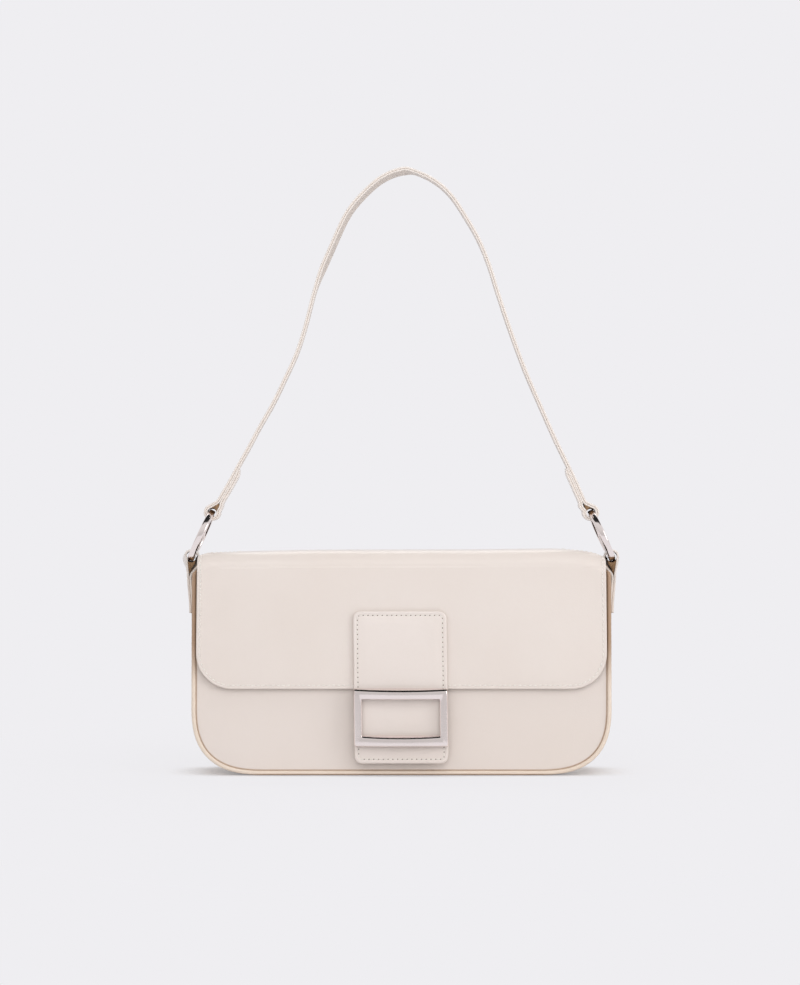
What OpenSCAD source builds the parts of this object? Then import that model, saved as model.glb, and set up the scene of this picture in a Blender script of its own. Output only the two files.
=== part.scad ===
// Baguette shoulder bag with a front flap, a metal frame on its closure tab and a
// one-piece strap carried by two metal rings. Front faces -Y, the bag rests on z = 0.

/* [Body] */
// Width of the body over the piping
body_w = 260; // [230:1:310]
// Height of the closed bag at the top of the flap
body_h = 140; // [120:1:170]
// Depth of the body at the bottom, over the two panels
bottom_d = 58; // [50:1:72]
// How far each panel leans in, in degrees
lean = 2.6; // [0:0.1:4]
// Radius of the lower corners
corner_r = 31; // [22:1:40]
// Diameter of the piping
piping_d = 2.8; // [2:0.1:4]
// Thickness of the body leather
panel_t = 1.6; // [1.2:0.1:2.2]
// Thickness of the gusset
gusset_t = 1.8; // [1.2:0.1:2.4]
// How far the gusset ends below the top of the flap
gusset_drop = 20.5; // [16:0.5:35]
// Thickness of the stiffening boards in the panels
board_t = 1; // [0.6:0.1:1.6]
// Thickness of the board in the bottom
base_t = 1.6; // [1:0.1:2.5]
// Thickness of the lining
lining_t = 0.8; // [0.5:0.1:1.2]

/* [Inner pocket] */
// Width of the slip pocket
pocket_w = 150; // [100:1:180]
// Height of the slip pocket
pocket_h = 70; // [50:1:80]
// Room between the slip pocket and the lining behind it
pocket_room = 6; // [5:0.5:9]

/* [Flap] */
// Thickness of the flap leather
flap_t = 1.6; // [1.2:0.1:2]
// Thickness of the flap lining
flap_lining_t = 1; // [0.8:0.1:1.4]
// Outer radius of the two folds of the flap
fold_r = 10; // [8:0.5:14]
// Gap between the front panel and the flap
flap_gap = 1.6; // [1:0.1:3]
// How far each side of the flap's neck sits in from the side of the body
neck_inset = 26; // [22:0.5:35]
// How far each side of the flap sits in at its front fold
flap_top_inset = 5; // [2:0.5:10]
// How far each side of the flap sits in near its lower edge
flap_low_inset = 3; // [1:0.5:10]
// Height of the lower edge of the flap above the floor
flap_low = 53.5; // [45:0.5:70]
// Radius of the lower corners of the flap
flap_r = 22; // [12:1:30]

/* [Closure] */
// Width of the closure tab
tab_w = 58; // [44:1:70]
// Height of the top edge of the tab above the floor
tab_top = 101.5; // [90:0.5:110]
// Height of the lower edge of the tab above the floor
tab_low = 7.5; // [5:0.5:14]
// Thickness of the tab leather
tab_t = 1.5; // [1.2:0.1:2]
// Thickness of the tab backing
tab_backing_t = 1.1; // [0.8:0.1:1.4]
// Radius of the tab corners
tab_r = 2.8; // [1.5:0.1:6]
// Outer height of the metal frame
frame_h = 35.4; // [28:0.2:44]
// Width of the frame's side bars
frame_side = 5.1; // [3.5:0.1:7]
// Height of the frame's upper and lower bars
frame_bar = 4.6; // [3.5:0.1:7]
// Thickness of the frame
frame_t = 4.6; // [4.3:0.1:6]
// Radius that the frame is bowed to
frame_bow_r = 150; // [110:5:260]
// Height of the frame's lower edge above the floor
frame_low = 18.2; // [14:0.2:24]
// Diameter of the magnetic snap
snap_d = 16; // [12:0.5:18]

/* [Strap] */
// Height of the strap above its two ends
strap_rise = 205.5; // [150:0.5:280]
// Width of the strap
strap_w = 14; // [10:0.5:18]
// Thickness of the strap's outer leather
strap_outer_t = 1.3; // [1:0.1:1.8]
// Thickness of the strap's inner leather
strap_inner_t = 1.1; // [0.8:0.1:1.6]
// Outer diameter of the rings
ring_d = 34.5; // [30:0.5:40]
// Thickness of a ring along its axis
ring_wide = 4; // [3:0.1:5]
// Thickness of a ring across its rim
ring_rim = 3.6; // [3:0.1:5]
// How far the rings lean in, in degrees
ring_lean = 24.5; // [15:0.5:30]
// Thickness of the leather loops that hold the rings
loop_t = 1.4; // [1:0.1:1.8]
// Width of the side loops
loop_w = 11; // [8:0.5:13]

/* [Hidden] */
$fn = 96;

far = 400;
clear = 0.3;
flap_all = flap_t + flap_lining_t;

// Centres of the two folds of the flap, and the pivot line in the leather at the foot of each
fold_z = body_h - fold_r;
pivot_r = fold_r - flap_t / 2;
back_fold_y = bottom_d / 2 - fold_z * tan(lean) - fold_r / cos(lean);
front_fold_y = fold_z * tan(lean) - bottom_d / 2 + (fold_r - flap_gap - flap_all) / cos(lean);
foot_angle = lean + asin((flap_t / 2 + clear) / pivot_r);
// The same feet measured up along the leaning panels
lift_h = (bottom_d / 2 - back_fold_y) * sin(lean) + fold_z * cos(lean);
bend_h = (front_fold_y + bottom_d / 2) * sin(lean) + fold_z * cos(lean);
foot_h = 4;
// The flap widens from its neck, over the mouth of the bag, to its front fold
neck_w = body_w - 2 * neck_inset;
flap_top_w = body_w - 2 * flap_top_inset;
flap_low_w = body_w - 2 * flap_low_inset;
flare_back = front_fold_y + 11.3;
flare_front = front_fold_y - 6.7;

// Body: the gusset reaches the floor, the piping ends just above it
piping_r = piping_d / 2;
piping_lift = 0.3;
piping_out = 0.1;
groove_room = 0.1;
shoulder_r = 24;
front_top = body_h - 14;
gusset_top = body_h - gusset_drop;
inner_y = panel_t + board_t;
lining_top = gusset_top - 1;
board_in = gusset_t + 3;
pocket_low = lining_top - 12.5 - pocket_h;

// Closure, measured out from the front panel
tab_y = flap_gap + flap_all;
tab_face = tab_y + tab_backing_t + tab_t;
snap_z = frame_low + frame_h / 2;
socket_t = 2.3;
socket_base = 0.8;
stud_t = tab_y - socket_t - clear;
nose_d = 5;
nose_h = 0.9;
nose_room = 1.5;
post_d = 4;
post_room = 0.2;
washer_d = 13;
washer_t = 0.6;
fixing_d = 2.4;
frame_w = tab_w;
fixing_x = (frame_w - frame_side) / 2;
frame_washer_d = 4.6;
frame_washer_t = 0.8;

// Rings and loops, measured for the right side
side_x = body_w / 2;
fall_z = gusset_top + 4.5;
stem_t = 2 * loop_t;
stem_x = side_x + clear;
stem_top = fall_z + 3;
tab_drop = 17;
swing_room = 4;
loop_in_r = 3.5;
loop_out_r = loop_in_r + loop_t;
ring_r = (ring_d - ring_rim) / 2;
foot_x = side_x + 1.8;
foot_z = fall_z + 10;
ring_x = foot_x - ring_r * sin(ring_lean);
ring_z = foot_z + ring_r * cos(ring_lean);
ring_up = [-sin(ring_lean), cos(ring_lean)];
side_eye = [foot_x, foot_z] + ring_up * 0.5;
strap_eye = [ring_x, ring_z] + ring_up * (ring_r - 0.85);
strap_foot = [ring_x, ring_z] + ring_up * ring_r + [-5.5, 9];
tail_steps = 7;

// Route of the strap's seam line from the left ring over the shoulder to the right ring, for
// ends that stand route_half out from the middle and a strap that rises to route_rise
route_half = 113.5;
route_rise = 205.5;
STRAP_ROUTE = [[-113.5, 0], [-108.5, 8.5], [-102.5, 19.5], [-96, 31], [-88.5, 45], [-80.5, 59],
               [-72.5, 75.5], [-65.5, 91], [-60, 108], [-53, 134], [-43.5, 157], [-33, 179],
               [-20, 194], [-9, 202], [3, 205.5], [14, 202.5], [24, 196.5], [32, 188.5],
               [40, 176.5], [48, 162.5], [54.5, 147], [60, 129.5], [68, 105.5], [77, 81],
               [86, 60], [95.5, 38.5], [101.5, 26], [107.5, 13.5], [113.5, 0]];

// Point on a smooth curve through four points, t runs from the second to the third
function curve_point(a, b, c, d, t) =
    0.5 * ((2 * b) + (c - a) * t + (2 * a - 5 * b + 4 * c - d) * t * t
           + (3 * b - a - 3 * c + d) * t * t * t);

// Smooth route with a number of steps between each two given points
function smooth(route, steps) =
    [for (i = [0 : len(route) - 2], k = [0 : steps - 1])
        curve_point(route[max(i - 1, 0)], route[i], route[i + 1],
                    route[min(i + 2, len(route) - 1)], k / steps),
     route[len(route) - 1]];

// Unit direction across a route at point i, to its outer side
function across(route, i) =
    let (d = route[min(i + 1, len(route) - 1)] - route[max(i - 1, 0)])
    [-d[1], d[0]] / norm(d);

// Outline of a band along a stretch of a route, between two distances from it
function band(route, first, last, low, high) =
    [for (i = [first : last]) route[i] + across(route, i) * high,
     for (i = [last : -1 : first]) route[i] + across(route, i) * low];

strap_line = smooth([for (p = STRAP_ROUTE) [p[0] * strap_foot[0] / route_half,
                                            p[1] * strap_rise / route_rise + strap_foot[1]]], 3);
strap_last = len(strap_line) - 1;

// Half width of the flap seen from above: narrow between the rings, wide at the front fold
function flap_half(y) =
    let (t = min(1, max(0, (flare_back - y) / (flare_back - flare_front))))
    (neck_w + (flap_top_w - neck_w) * t * t * (3 - 2 * t)) / 2;

// Places its children on the front panel: y = 0 is its outer face and +y runs inwards
module on_front() {
    translate([0, -bottom_d / 2, 0])
        rotate([-lean, 0, 0])
            children();
}

module on_back() {
    mirror([0, 1, 0])
        on_front()
            children();
}

// Stands a flat outline up in the XZ plane, from y = from to y = from + thick
module upright(from, thick) {
    translate([0, from + thick, 0])
        rotate([90, 0, 0])
            linear_extrude(thick)
                children();
}

// Runs an outline drawn in the YZ plane along the X axis
module along_x(from, length) {
    translate([from, 0, 0])
        rotate([90, 0, 90])
            linear_extrude(length)
                children();
}

// Disc or post that stands on a panel at the height of the snap, or where at says
module disc(from, thick, d, at = [0, snap_z]) {
    translate([at[0], from, at[1]])
        rotate([-90, 0, 0])
            cylinder(d = d, h = thick);
}

// Sack outline: round lower corners, straight top
module sack(w, low, top, r) {
    translate([-w / 2, low + r])
        square([w, top - low - r]);
    translate([-w / 2 + r, low])
        square([w - 2 * r, r]);
    for (side = [-1, 1])
        translate([side * (w / 2 - r), low + r])
            circle(r);
}

module rounded(w, low, top, r) {
    translate([-w / 2, low + r])
        square([w, top - low - 2 * r]);
    translate([-w / 2 + r, low])
        square([w - 2 * r, top - low]);
    for (side = [-1, 1], z = [low + r, top - r])
        translate([side * (w / 2 - r), z])
            circle(r);
}

// Front outline run through the whole depth, cut at faces inside the two leaning panels
module through_body(inset) {
    intersection() {
        upright(-far / 2, far)
            children();
        on_front()
            translate([-far / 2, inset, -far / 4])
                cube(far);
        on_back()
            translate([-far / 2, inset, -far / 4])
                cube(far);
    }
}

// Top strip of a panel that ends in a rounded edge on its pivot line
module rounded_top(w, mid_y, h) {
    along_x(-w / 2, w) {
        translate([mid_y - flap_t / 2, h - foot_h])
            square([flap_t, foot_h]);
        translate([mid_y, h])
            circle(d = flap_t);
    }
}

// Body

module body_outline(inset, top) {
    sack(body_w - 2 * inset, inset + piping_lift, top, corner_r - inset);
}

// Piping: a covered cord up both sides and along the bottom of a panel
module piping(top, d = piping_d) {
    run = side_x - corner_r;
    bend_z = corner_r + piping_lift;
    translate([0, -piping_out, 0]) {
        for (side = [-1, 1]) {
            translate([side * (side_x - piping_r), 0, bend_z])
                cylinder(d = d, h = top - bend_z);
            translate([side * run, 0, bend_z])
                rotate([90, 0, 0])
                    rotate([0, 0, side > 0 ? -90 : 180])
                        rotate_extrude(angle = 90)
                            translate([corner_r - piping_r, 0])
                                circle(d = d);
        }
        translate([-run, 0, piping_r + piping_lift])
            rotate([0, 90, 0])
                cylinder(d = d, h = 2 * run);
    }
}

module front_panel() {
    color("#e6dcd0")
        on_front()
            difference() {
                upright(0, panel_t)
                    body_outline(piping_r, front_top);
                piping(front_top + 1, piping_d + groove_room);
                disc(-1, panel_t + 2, post_d + post_room);
            }
}

// The back panel narrows over round shoulders to the neck of the flap
module shoulders() {
    for (side = [-1, 1])
        translate([side * neck_w / 2, lift_h - foot_h - shoulder_r])
            difference() {
                translate([side > 0 ? 0 : -shoulder_r - 9, 0])
                    square([shoulder_r + 9, shoulder_r + 9]);
                circle(shoulder_r);
            }
}

module back_panel() {
    color("#e2d8cb")
        on_back() {
            difference() {
                upright(0, panel_t)
                    difference() {
                        body_outline(piping_r, lift_h - foot_h);
                        shoulders();
                    }
                piping(lift_h, piping_d + groove_room);
            }
            rounded_top(neck_w, flap_t / 2, lift_h);
        }
}

module gusset() {
    color("#d9cdbd")
        through_body(panel_t)
            difference() {
                sack(body_w, 0, gusset_top, corner_r);
                sack(body_w - 2 * gusset_t, gusset_t, gusset_top + 1, corner_r - gusset_t);
            }
}

module front_piping() {
    color("#cbb79b")
        on_front()
            piping(front_top - 3);
}

module back_piping() {
    color("#cbb79b")
        on_back()
            piping(lift_h - foot_h - shoulder_r);
}

module base_board() {
    color("#8c7a66")
        through_body(inner_y)
            translate([-side_x + corner_r, gusset_t])
                square([body_w - 2 * corner_r, base_t]);
}

module board() {
    upright(panel_t, board_t)
        body_outline(board_in, gusset_top - 4);
}

module front_board() {
    color("#8c7a66")
        on_front()
            difference() {
                board();
                disc(0, far, washer_d + post_room);
            }
}

module back_board() {
    color("#8c7a66")
        on_back()
            board();
}

module lining_space(inset, top) {
    through_body(inner_y + inset)
        sack(body_w - 2 * (gusset_t + inset), gusset_t + base_t + inset, top,
             corner_r - gusset_t - inset);
}

module bag_lining() {
    color("#b79f86")
        difference() {
            lining_space(0, lining_top);
            lining_space(lining_t, lining_top + 1);
        }
}

// Slip pocket: a bellied patch on the back of the lining, open at the top
module inner_pocket() {
    color("#a98f75")
        on_back()
            translate([0, inner_y + lining_t, 0])
                difference() {
                    upright(0, pocket_room + lining_t)
                        sack(pocket_w, pocket_low, pocket_low + pocket_h, 10);
                    upright(-1, pocket_room + 1)
                        sack(pocket_w - 4, pocket_low + 2, pocket_low + pocket_h + 1, 8);
                }
}

module magnet_socket() {
    color("#c9c6cc")
        on_front()
            difference() {
                union() {
                    disc(-socket_t, socket_t, snap_d);
                    disc(0, panel_t + washer_t, post_d);
                }
                disc(-socket_t - 1, socket_t - socket_base + 1, nose_d + 2 * nose_room);
            }
}

module socket_washer() {
    color("#c9c6cc")
        on_front()
            difference() {
                disc(panel_t, washer_t, washer_d);
                disc(0, far, post_d + post_room);
            }
}

// Sewn end of the leather strip that holds a ring, hollowed for the swing of the loop
module side_tab(side) {
    color("#e2d8cb")
        difference() {
            translate([side > 0 ? side_x : -side_x - stem_t, -loop_w / 2, fall_z - tab_drop])
                cube([stem_t, loop_w, tab_drop - swing_room]);
            translate([-far / 2, 0, fall_z])
                rotate([0, 90, 0])
                    cylinder(r = loop_w / 2 + clear, h = far);
        }
}

module left_side_tab() {
    side_tab(-1);
}

module right_side_tab() {
    side_tab(1);
}

// Flap

// Section of the flap's top with its two folds, between two radii
module flap_section(r_out, r_in) {
    difference() {
        union() {
            for (y = [back_fold_y, front_fold_y])
                translate([y, fold_z])
                    circle(r_out);
            translate([front_fold_y, fold_z])
                square([back_fold_y - front_fold_y, r_out]);
        }
        for (y = [back_fold_y, front_fold_y])
            translate([y, fold_z])
                circle(r_in);
        translate([front_fold_y, fold_z - 1])
            square([back_fold_y - front_fold_y, r_in + 1]);
        translate([-far / 2, fold_z - far])
            square(far);
        translate([front_fold_y, fold_z])
            rotate(-foot_angle)
                translate([-far, -far])
                    square(far);
        translate([back_fold_y, fold_z])
            rotate(foot_angle)
                translate([0, -far])
                    square(far);
    }
}

module flap_plan() {
    ys = [60, for (k = [0 : 12]) flare_back + (flare_front - flare_back) * k / 12, -60];
    polygon([for (y = ys) [flap_half(y), y],
             for (i = [len(ys) - 1 : -1 : 0]) [-flap_half(ys[i]), ys[i]]]);
}

module flap_layer(r_out, r_in) {
    intersection() {
        along_x(-side_x, body_w)
            flap_section(r_out, r_in);
        translate([0, 0, fold_z - 1])
            linear_extrude(fold_r + 2)
                flap_plan();
    }
}

module flap_top() {
    color("#ebe2d8")
        flap_layer(fold_r, fold_r - flap_t);
}

module flap_top_lining() {
    color("#b79f86")
        flap_layer(fold_r - flap_t, fold_r - flap_all);
}

// Front of the flap: slightly wider below than at its fold, with round lower corners
module flap_front_outline(inset, top) {
    difference() {
        sack(flap_low_w - 2 * inset, flap_low + inset, top, flap_r - inset);
        for (side = [-1, 1])
            polygon([[side * (flap_low_w / 2 - inset), flap_low + flap_r + 8],
                     [side * (flap_low_w / 2 + 5), flap_low + flap_r + 8],
                     [side * (flap_low_w / 2 + 5), top + 1],
                     [side * (flap_top_w / 2 - inset), top + 1]]);
    }
}

module flap_front() {
    color("#ebe2d8")
        on_front() {
            upright(-tab_y, flap_t)
                flap_front_outline(0, bend_h - foot_h);
            rounded_top(flap_top_w, flap_t / 2 - tab_y, bend_h);
        }
}

module flap_front_lining() {
    color("#b79f86")
        on_front()
            upright(-flap_gap - flap_lining_t, flap_lining_t)
                flap_front_outline(1, bend_h);
}

// Closure tab

module tab_outline(inset) {
    rounded(tab_w - 2 * inset, tab_low + inset, tab_top - inset, tab_r - inset);
}

module fixings(from, thick, d) {
    for (side = [-1, 1])
        disc(from, thick, d, [side * fixing_x, snap_z]);
}

module closure_tab() {
    color("#eee5dc")
        on_front()
            difference() {
                upright(-tab_face, tab_t)
                    tab_outline(0);
                fixings(-tab_face - 1, far, fixing_d + post_room);
            }
}

module tab_backing() {
    color("#cdbfae")
        on_front()
            difference() {
                upright(-tab_y - tab_backing_t, tab_backing_t)
                    tab_outline(0.6);
                fixings(-tab_face, far, fixing_d + post_room);
                disc(-tab_face, far, post_d + post_room);
                disc(-tab_y - tab_backing_t - 1, washer_t + 1, washer_d + post_room);
            }
}

// Metal frame: a rectangle bowed outwards, held on the tab by two riveted posts
module buckle_frame() {
    back_y = sqrt(pow(frame_bow_r, 2) - pow(frame_w / 2, 2)) - tab_face;
    color("#d6d2da")
        on_front() {
            intersection() {
                translate([0, back_y, frame_low])
                    difference() {
                        cylinder(r = frame_bow_r + frame_t, h = frame_h, $fn = 360);
                        translate([0, 0, -1])
                            cylinder(r = frame_bow_r, h = frame_h + 2, $fn = 360);
                    }
                upright(-tab_face - far, far)
                    difference() {
                        translate([-frame_w / 2, frame_low])
                            square([frame_w, frame_h]);
                        translate([-frame_w / 2 + frame_side, frame_low + frame_bar])
                            square([frame_w - 2 * frame_side, frame_h - 2 * frame_bar]);
                    }
            }
            fixings(-tab_face - frame_t / 2, tab_face - tab_y + frame_washer_t + frame_t / 2, fixing_d);
        }
}

module frame_washers() {
    color("#c9c6cc")
        on_front()
            difference() {
                fixings(-tab_y, frame_washer_t, frame_washer_d);
                fixings(-tab_face, far, fixing_d + post_room);
            }
}

module magnet_stud() {
    color("#c9c6cc")
        on_front() {
            disc(-tab_y, stud_t, snap_d - 1);
            disc(stud_t - tab_y, nose_h, nose_d);
            disc(-tab_y - tab_backing_t, tab_backing_t, post_d);
        }
}

module stud_washer() {
    color("#c9c6cc")
        on_front()
            difference() {
                disc(-tab_y - tab_backing_t, washer_t, washer_d);
                disc(-tab_face, far, post_d + post_room);
            }
}

// Rings and strap

// Eye of leather: a round bend that tapers to the path of its far end
module eye(at, r, path) {
    end = (path[0] + path[len(path) - 1]) / 2;
    d = (end - at) / norm(end - at);
    n = [-d[1], d[0]];
    translate(at)
        circle(r);
    polygon([at + (n * cos(20) + d * sin(20)) * r, for (p = path) p,
             at + (d * sin(20) - n * cos(20)) * r]);
}

// Free loop of a side strip: an eye round the ring on a stem that ends in a half disc
module side_loop(side) {
    color("#e2d8cb")
        mirror([side > 0 ? 0 : 1, 0, 0]) {
            upright(-loop_w / 2, loop_w)
                difference() {
                    eye(side_eye, loop_out_r, [[stem_x + stem_t, stem_top], [stem_x, stem_top]]);
                    eye(side_eye, loop_in_r, [[stem_x + stem_t / 2 + 0.3, stem_top + 2],
                                              [stem_x + stem_t / 2 - 0.3, stem_top + 2]]);
                }
            along_x(stem_x, stem_t) {
                translate([0, fall_z])
                    circle(d = loop_w);
                translate([-loop_w / 2, fall_z])
                    square([loop_w, stem_top - fall_z]);
            }
        }
}

module left_side_loop() {
    side_loop(-1);
}

module right_side_loop() {
    side_loop(1);
}

module ring(side) {
    color("#d6d2da")
        translate([side * ring_x, 0, ring_z])
            rotate([0, 90 - side * ring_lean, 0])
                rotate_extrude()
                    translate([ring_r, 0])
                        intersection() {
                            square([ring_rim, ring_wide], center = true);
                            circle(d = (ring_rim + ring_wide) * 0.6);
                        }
}

module left_ring() {
    ring(-1);
}

module right_ring() {
    ring(1);
}

module strap() {
    color("#ebe2d8")
        upright(-strap_w / 2, strap_w)
            polygon(band(strap_line, 0, strap_last, 0, strap_outer_t));
}

module strap_lining() {
    color("#d9c8b2")
        upright(-strap_w / 2, strap_w)
            polygon(band(strap_line, 0, strap_last, -strap_inner_t, 0));
}

// Fold of the strap round a ring, with its tail sewn to the strap's inner side
module strap_end(side, first, last, tip) {
    at = [side * strap_eye[0], strap_eye[1]];
    tip_at = strap_line[tip];
    out = across(strap_line, tip);
    n = last - first + 1;
    tail = band(strap_line, first, last, -strap_inner_t - loop_t, -strap_inner_t);
    top = tip_at + out * strap_outer_t;
    path = side > 0 ? [for (k = [0 : 2 * n - 1]) tail[(k + n) % (2 * n)], top]
                    : [top, for (p = tail) p];
    notch = tip_at + (at - tip_at) * 0.22;
    color("#e2d8cb")
        upright(-strap_w / 2, strap_w)
            difference() {
                eye(at, loop_out_r, path);
                eye(at, loop_in_r, [notch - out * side * 0.4, notch + out * side * 0.4]);
            }
}

module left_strap_end() {
    strap_end(-1, 0, tail_steps, 0);
}

module right_strap_end() {
    strap_end(1, strap_last - tail_steps, strap_last, strap_last);
}

front_panel();
back_panel();
gusset();
front_piping();
back_piping();
base_board();
front_board();
back_board();
bag_lining();
inner_pocket();
magnet_socket();
socket_washer();
left_side_tab();
right_side_tab();
flap_top();
flap_top_lining();
flap_front();
flap_front_lining();
closure_tab();
tab_backing();
buckle_frame();
frame_washers();
magnet_stud();
stud_washer();
left_side_loop();
right_side_loop();
left_ring();
right_ring();
strap();
strap_lining();
left_strap_end();
right_strap_end();
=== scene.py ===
"""Pale leather shoulder bag with a front flap, a metal frame on its tab and a strap on two rings.

Lengths in the classes are millimetres in the shared frame: +Z up, the front faces -Y, and the bag
stands on z = 0. Meshes are written in metres.
"""

from __future__ import annotations

import logging
import math
from dataclasses import dataclass, field
from enum import Enum
from typing import Callable, Sequence

import bmesh
import bpy
import numpy as np
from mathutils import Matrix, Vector

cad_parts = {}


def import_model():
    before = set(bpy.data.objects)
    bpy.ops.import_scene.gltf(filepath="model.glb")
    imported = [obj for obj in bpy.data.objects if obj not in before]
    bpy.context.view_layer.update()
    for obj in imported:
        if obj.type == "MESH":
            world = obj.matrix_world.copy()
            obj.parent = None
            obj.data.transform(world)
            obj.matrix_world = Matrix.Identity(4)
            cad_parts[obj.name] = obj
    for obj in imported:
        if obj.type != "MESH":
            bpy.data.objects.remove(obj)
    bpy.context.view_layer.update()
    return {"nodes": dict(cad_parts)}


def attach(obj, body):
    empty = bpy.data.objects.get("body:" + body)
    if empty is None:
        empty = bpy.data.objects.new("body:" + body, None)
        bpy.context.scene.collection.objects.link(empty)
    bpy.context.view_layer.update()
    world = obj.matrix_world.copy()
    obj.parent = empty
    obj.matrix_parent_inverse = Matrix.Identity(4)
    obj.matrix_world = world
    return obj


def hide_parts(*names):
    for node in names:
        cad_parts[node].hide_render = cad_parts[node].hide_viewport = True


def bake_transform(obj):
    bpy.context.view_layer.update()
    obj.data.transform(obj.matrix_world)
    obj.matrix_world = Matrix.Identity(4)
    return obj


LOG = logging.getLogger("bag")
MM = 0.001
UNMARKED = 9.0
CORNERS = ((1, 1, 0), (-1, 1, 90), (-1, -1, 180), (1, -1, 270))
Array = np.ndarray
Colour = tuple[float, float, float]
Sides = tuple[Array, Array, Array, Array]
Place = Callable[[Array, Array, Array], Array]


class Side(Enum):
    """Side of the bag as seen from the front."""

    LEFT = -1
    RIGHT = 1


class Body(str, Enum):
    """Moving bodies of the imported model."""

    BAG = "bag"
    FLAP_TOP = "flap_top"
    FLAP_FRONT = "flap_front"
    STRAP = "strap"
    LEFT_RING = "left_ring"
    RIGHT_RING = "right_ring"


# Shader maths


class Socket:
    """Output socket of a node tree that takes part in arithmetic."""

    def __init__(self, shader: "Shader", socket: bpy.types.NodeSocket) -> None:
        """Keeps the tree and the socket."""
        self.shader, self.socket = shader, socket

    def _math(self, operation: str, a: object, b: object, clamp: bool = False) -> "Socket":
        """Adds one Math node on two values or sockets."""
        return self.shader.node("ShaderNodeMath", {"operation": operation, "use_clamp": clamp},
                                {0: a, 1: b})

    def __add__(self, other: object) -> "Socket":
        """Sum."""
        return self._math("ADD", self, other)

    __radd__ = __add__

    def __sub__(self, other: object) -> "Socket":
        """Difference."""
        return self._math("SUBTRACT", self, other)

    def __rsub__(self, other: object) -> "Socket":
        """Difference with this socket on the right."""
        return self._math("SUBTRACT", other, self)

    def __mul__(self, other: object) -> "Socket":
        """Product."""
        return self._math("MULTIPLY", self, other)

    __rmul__ = __mul__

    def __pow__(self, other: object) -> "Socket":
        """Power."""
        return self._math("POWER", self, other)

    def clamp(self) -> "Socket":
        """The value kept between 0 and 1."""
        return self._math("ADD", self, 0.0, clamp=True)

    def step(self, low: float, high: float) -> "Socket":
        """Smooth ramp from 0 at the low value to 1 at the high one."""
        return self.shader.node("ShaderNodeMapRange",
                                {"interpolation_type": "SMOOTHSTEP", "clamp": True},
                                {0: self, 1: low, 2: high, 3: 0.0, 4: 1.0})

    def bump(self, middle: float, width: float) -> "Socket":
        """Smooth bump of height 1 at a value, 0 where it is a width away."""
        return 1.0 - self._math("ABSOLUTE", self - middle, 0.0).step(0.0, width)


class Shader:
    """Node material with one Principled shader."""

    def __init__(self, name: str) -> None:
        """Makes an empty material.

        Args:
            name: the material's name.
        """
        self.material = bpy.data.materials.new(name)
        self.material.use_nodes = True
        self.tree = self.material.node_tree
        self.tree.nodes.clear()
        self.out = self.tree.nodes.new("ShaderNodeOutputMaterial")
        self.surface = self.tree.nodes.new("ShaderNodeBsdfPrincipled")
        self.tree.links.new(self.surface.outputs[0], self.out.inputs["Surface"])

    def node(self, kind: str, settings: dict[str, object], inputs: dict[object, object],
             output: object = 0) -> Socket:
        """Adds one node.

        Args:
            kind: the node's type.
            settings: its properties.
            inputs: values or links of its sockets, by name or number.
            output: name or number of the output that is returned.

        Returns:
            The chosen output.
        """
        made = self.tree.nodes.new(kind)
        for key, value in settings.items():
            setattr(made, key, value)
        for key, value in inputs.items():
            self.plug(made.inputs[key], value)
        return Socket(self, made.outputs[output])

    def plug(self, target: bpy.types.NodeSocket, value: object) -> None:
        """Links a socket or sets its value.

        Args:
            target: the input to fill.
            value: a Socket, a number, or a colour of three numbers.
        """
        if isinstance(value, Socket):
            self.tree.links.new(value.socket, target)
        elif isinstance(value, tuple) and target.type == "RGBA":
            target.default_value = (*value, 1.0)
        else:
            target.default_value = value

    def position(self, scale: Colour | None = None) -> Socket:
        """Place in metres in the shared frame, scaled along the axes if wanted."""
        at = self.node("ShaderNodeTexCoord", {}, {}, "Object")
        return at if scale is None else self.node("ShaderNodeVectorMath",
                                                  {"operation": "MULTIPLY"}, {0: at, 1: scale})

    def axis(self, number: int) -> Socket:
        """One coordinate of the place."""
        return self.node("ShaderNodeSeparateXYZ", {}, {0: self.position()}, number)

    def noise(self, scale: float, detail: float, rough: float = 0.5,
              where: Socket | None = None) -> Socket:
        """Soft noise from 0 to 1, with so many waves per metre."""
        return self.node("ShaderNodeTexNoise", {},
                         {"Vector": where or self.position(), "Scale": scale, "Detail": detail,
                          "Roughness": rough}, "Fac")

    def mix(self, amount: object, low: object, high: object) -> Socket:
        """Mixes two colours: amount 0 gives the low one, 1 the high one."""
        return self.node("ShaderNodeMix", {"data_type": "RGBA"}, {0: amount, 6: low, 7: high}, 2)

    def relief(self, height: Socket, distance: float) -> None:
        """Feeds the shader's normal from a height, with its depth in metres."""
        self.plug(self.surface.inputs["Normal"], self.node(
            "ShaderNodeBump", {}, {"Height": height, "Distance": distance}, "Normal"))

    def set(self, **values: object) -> None:
        """Fills sockets of the shader, with underscores for the spaces in their names."""
        for name, value in values.items():
            self.plug(self.surface.inputs[name.replace("_", " ")], value)


@dataclass(frozen=True)
class Finish:
    """Finish of a surface."""

    name: str
    colour: Colour

    def make(self) -> bpy.types.Material:
        """Builds the material.

        Returns:
            The finished material.
        """
        s = Shader(self.name)
        self.dress(s)
        return s.material

    def dress(self, s: Shader) -> None:
        """Fills the shader in the finish's own way."""
        raise NotImplementedError

    def darker(self, factor: float) -> Colour:
        """The finish's colour times a factor."""
        return tuple(c * factor for c in self.colour)


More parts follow.
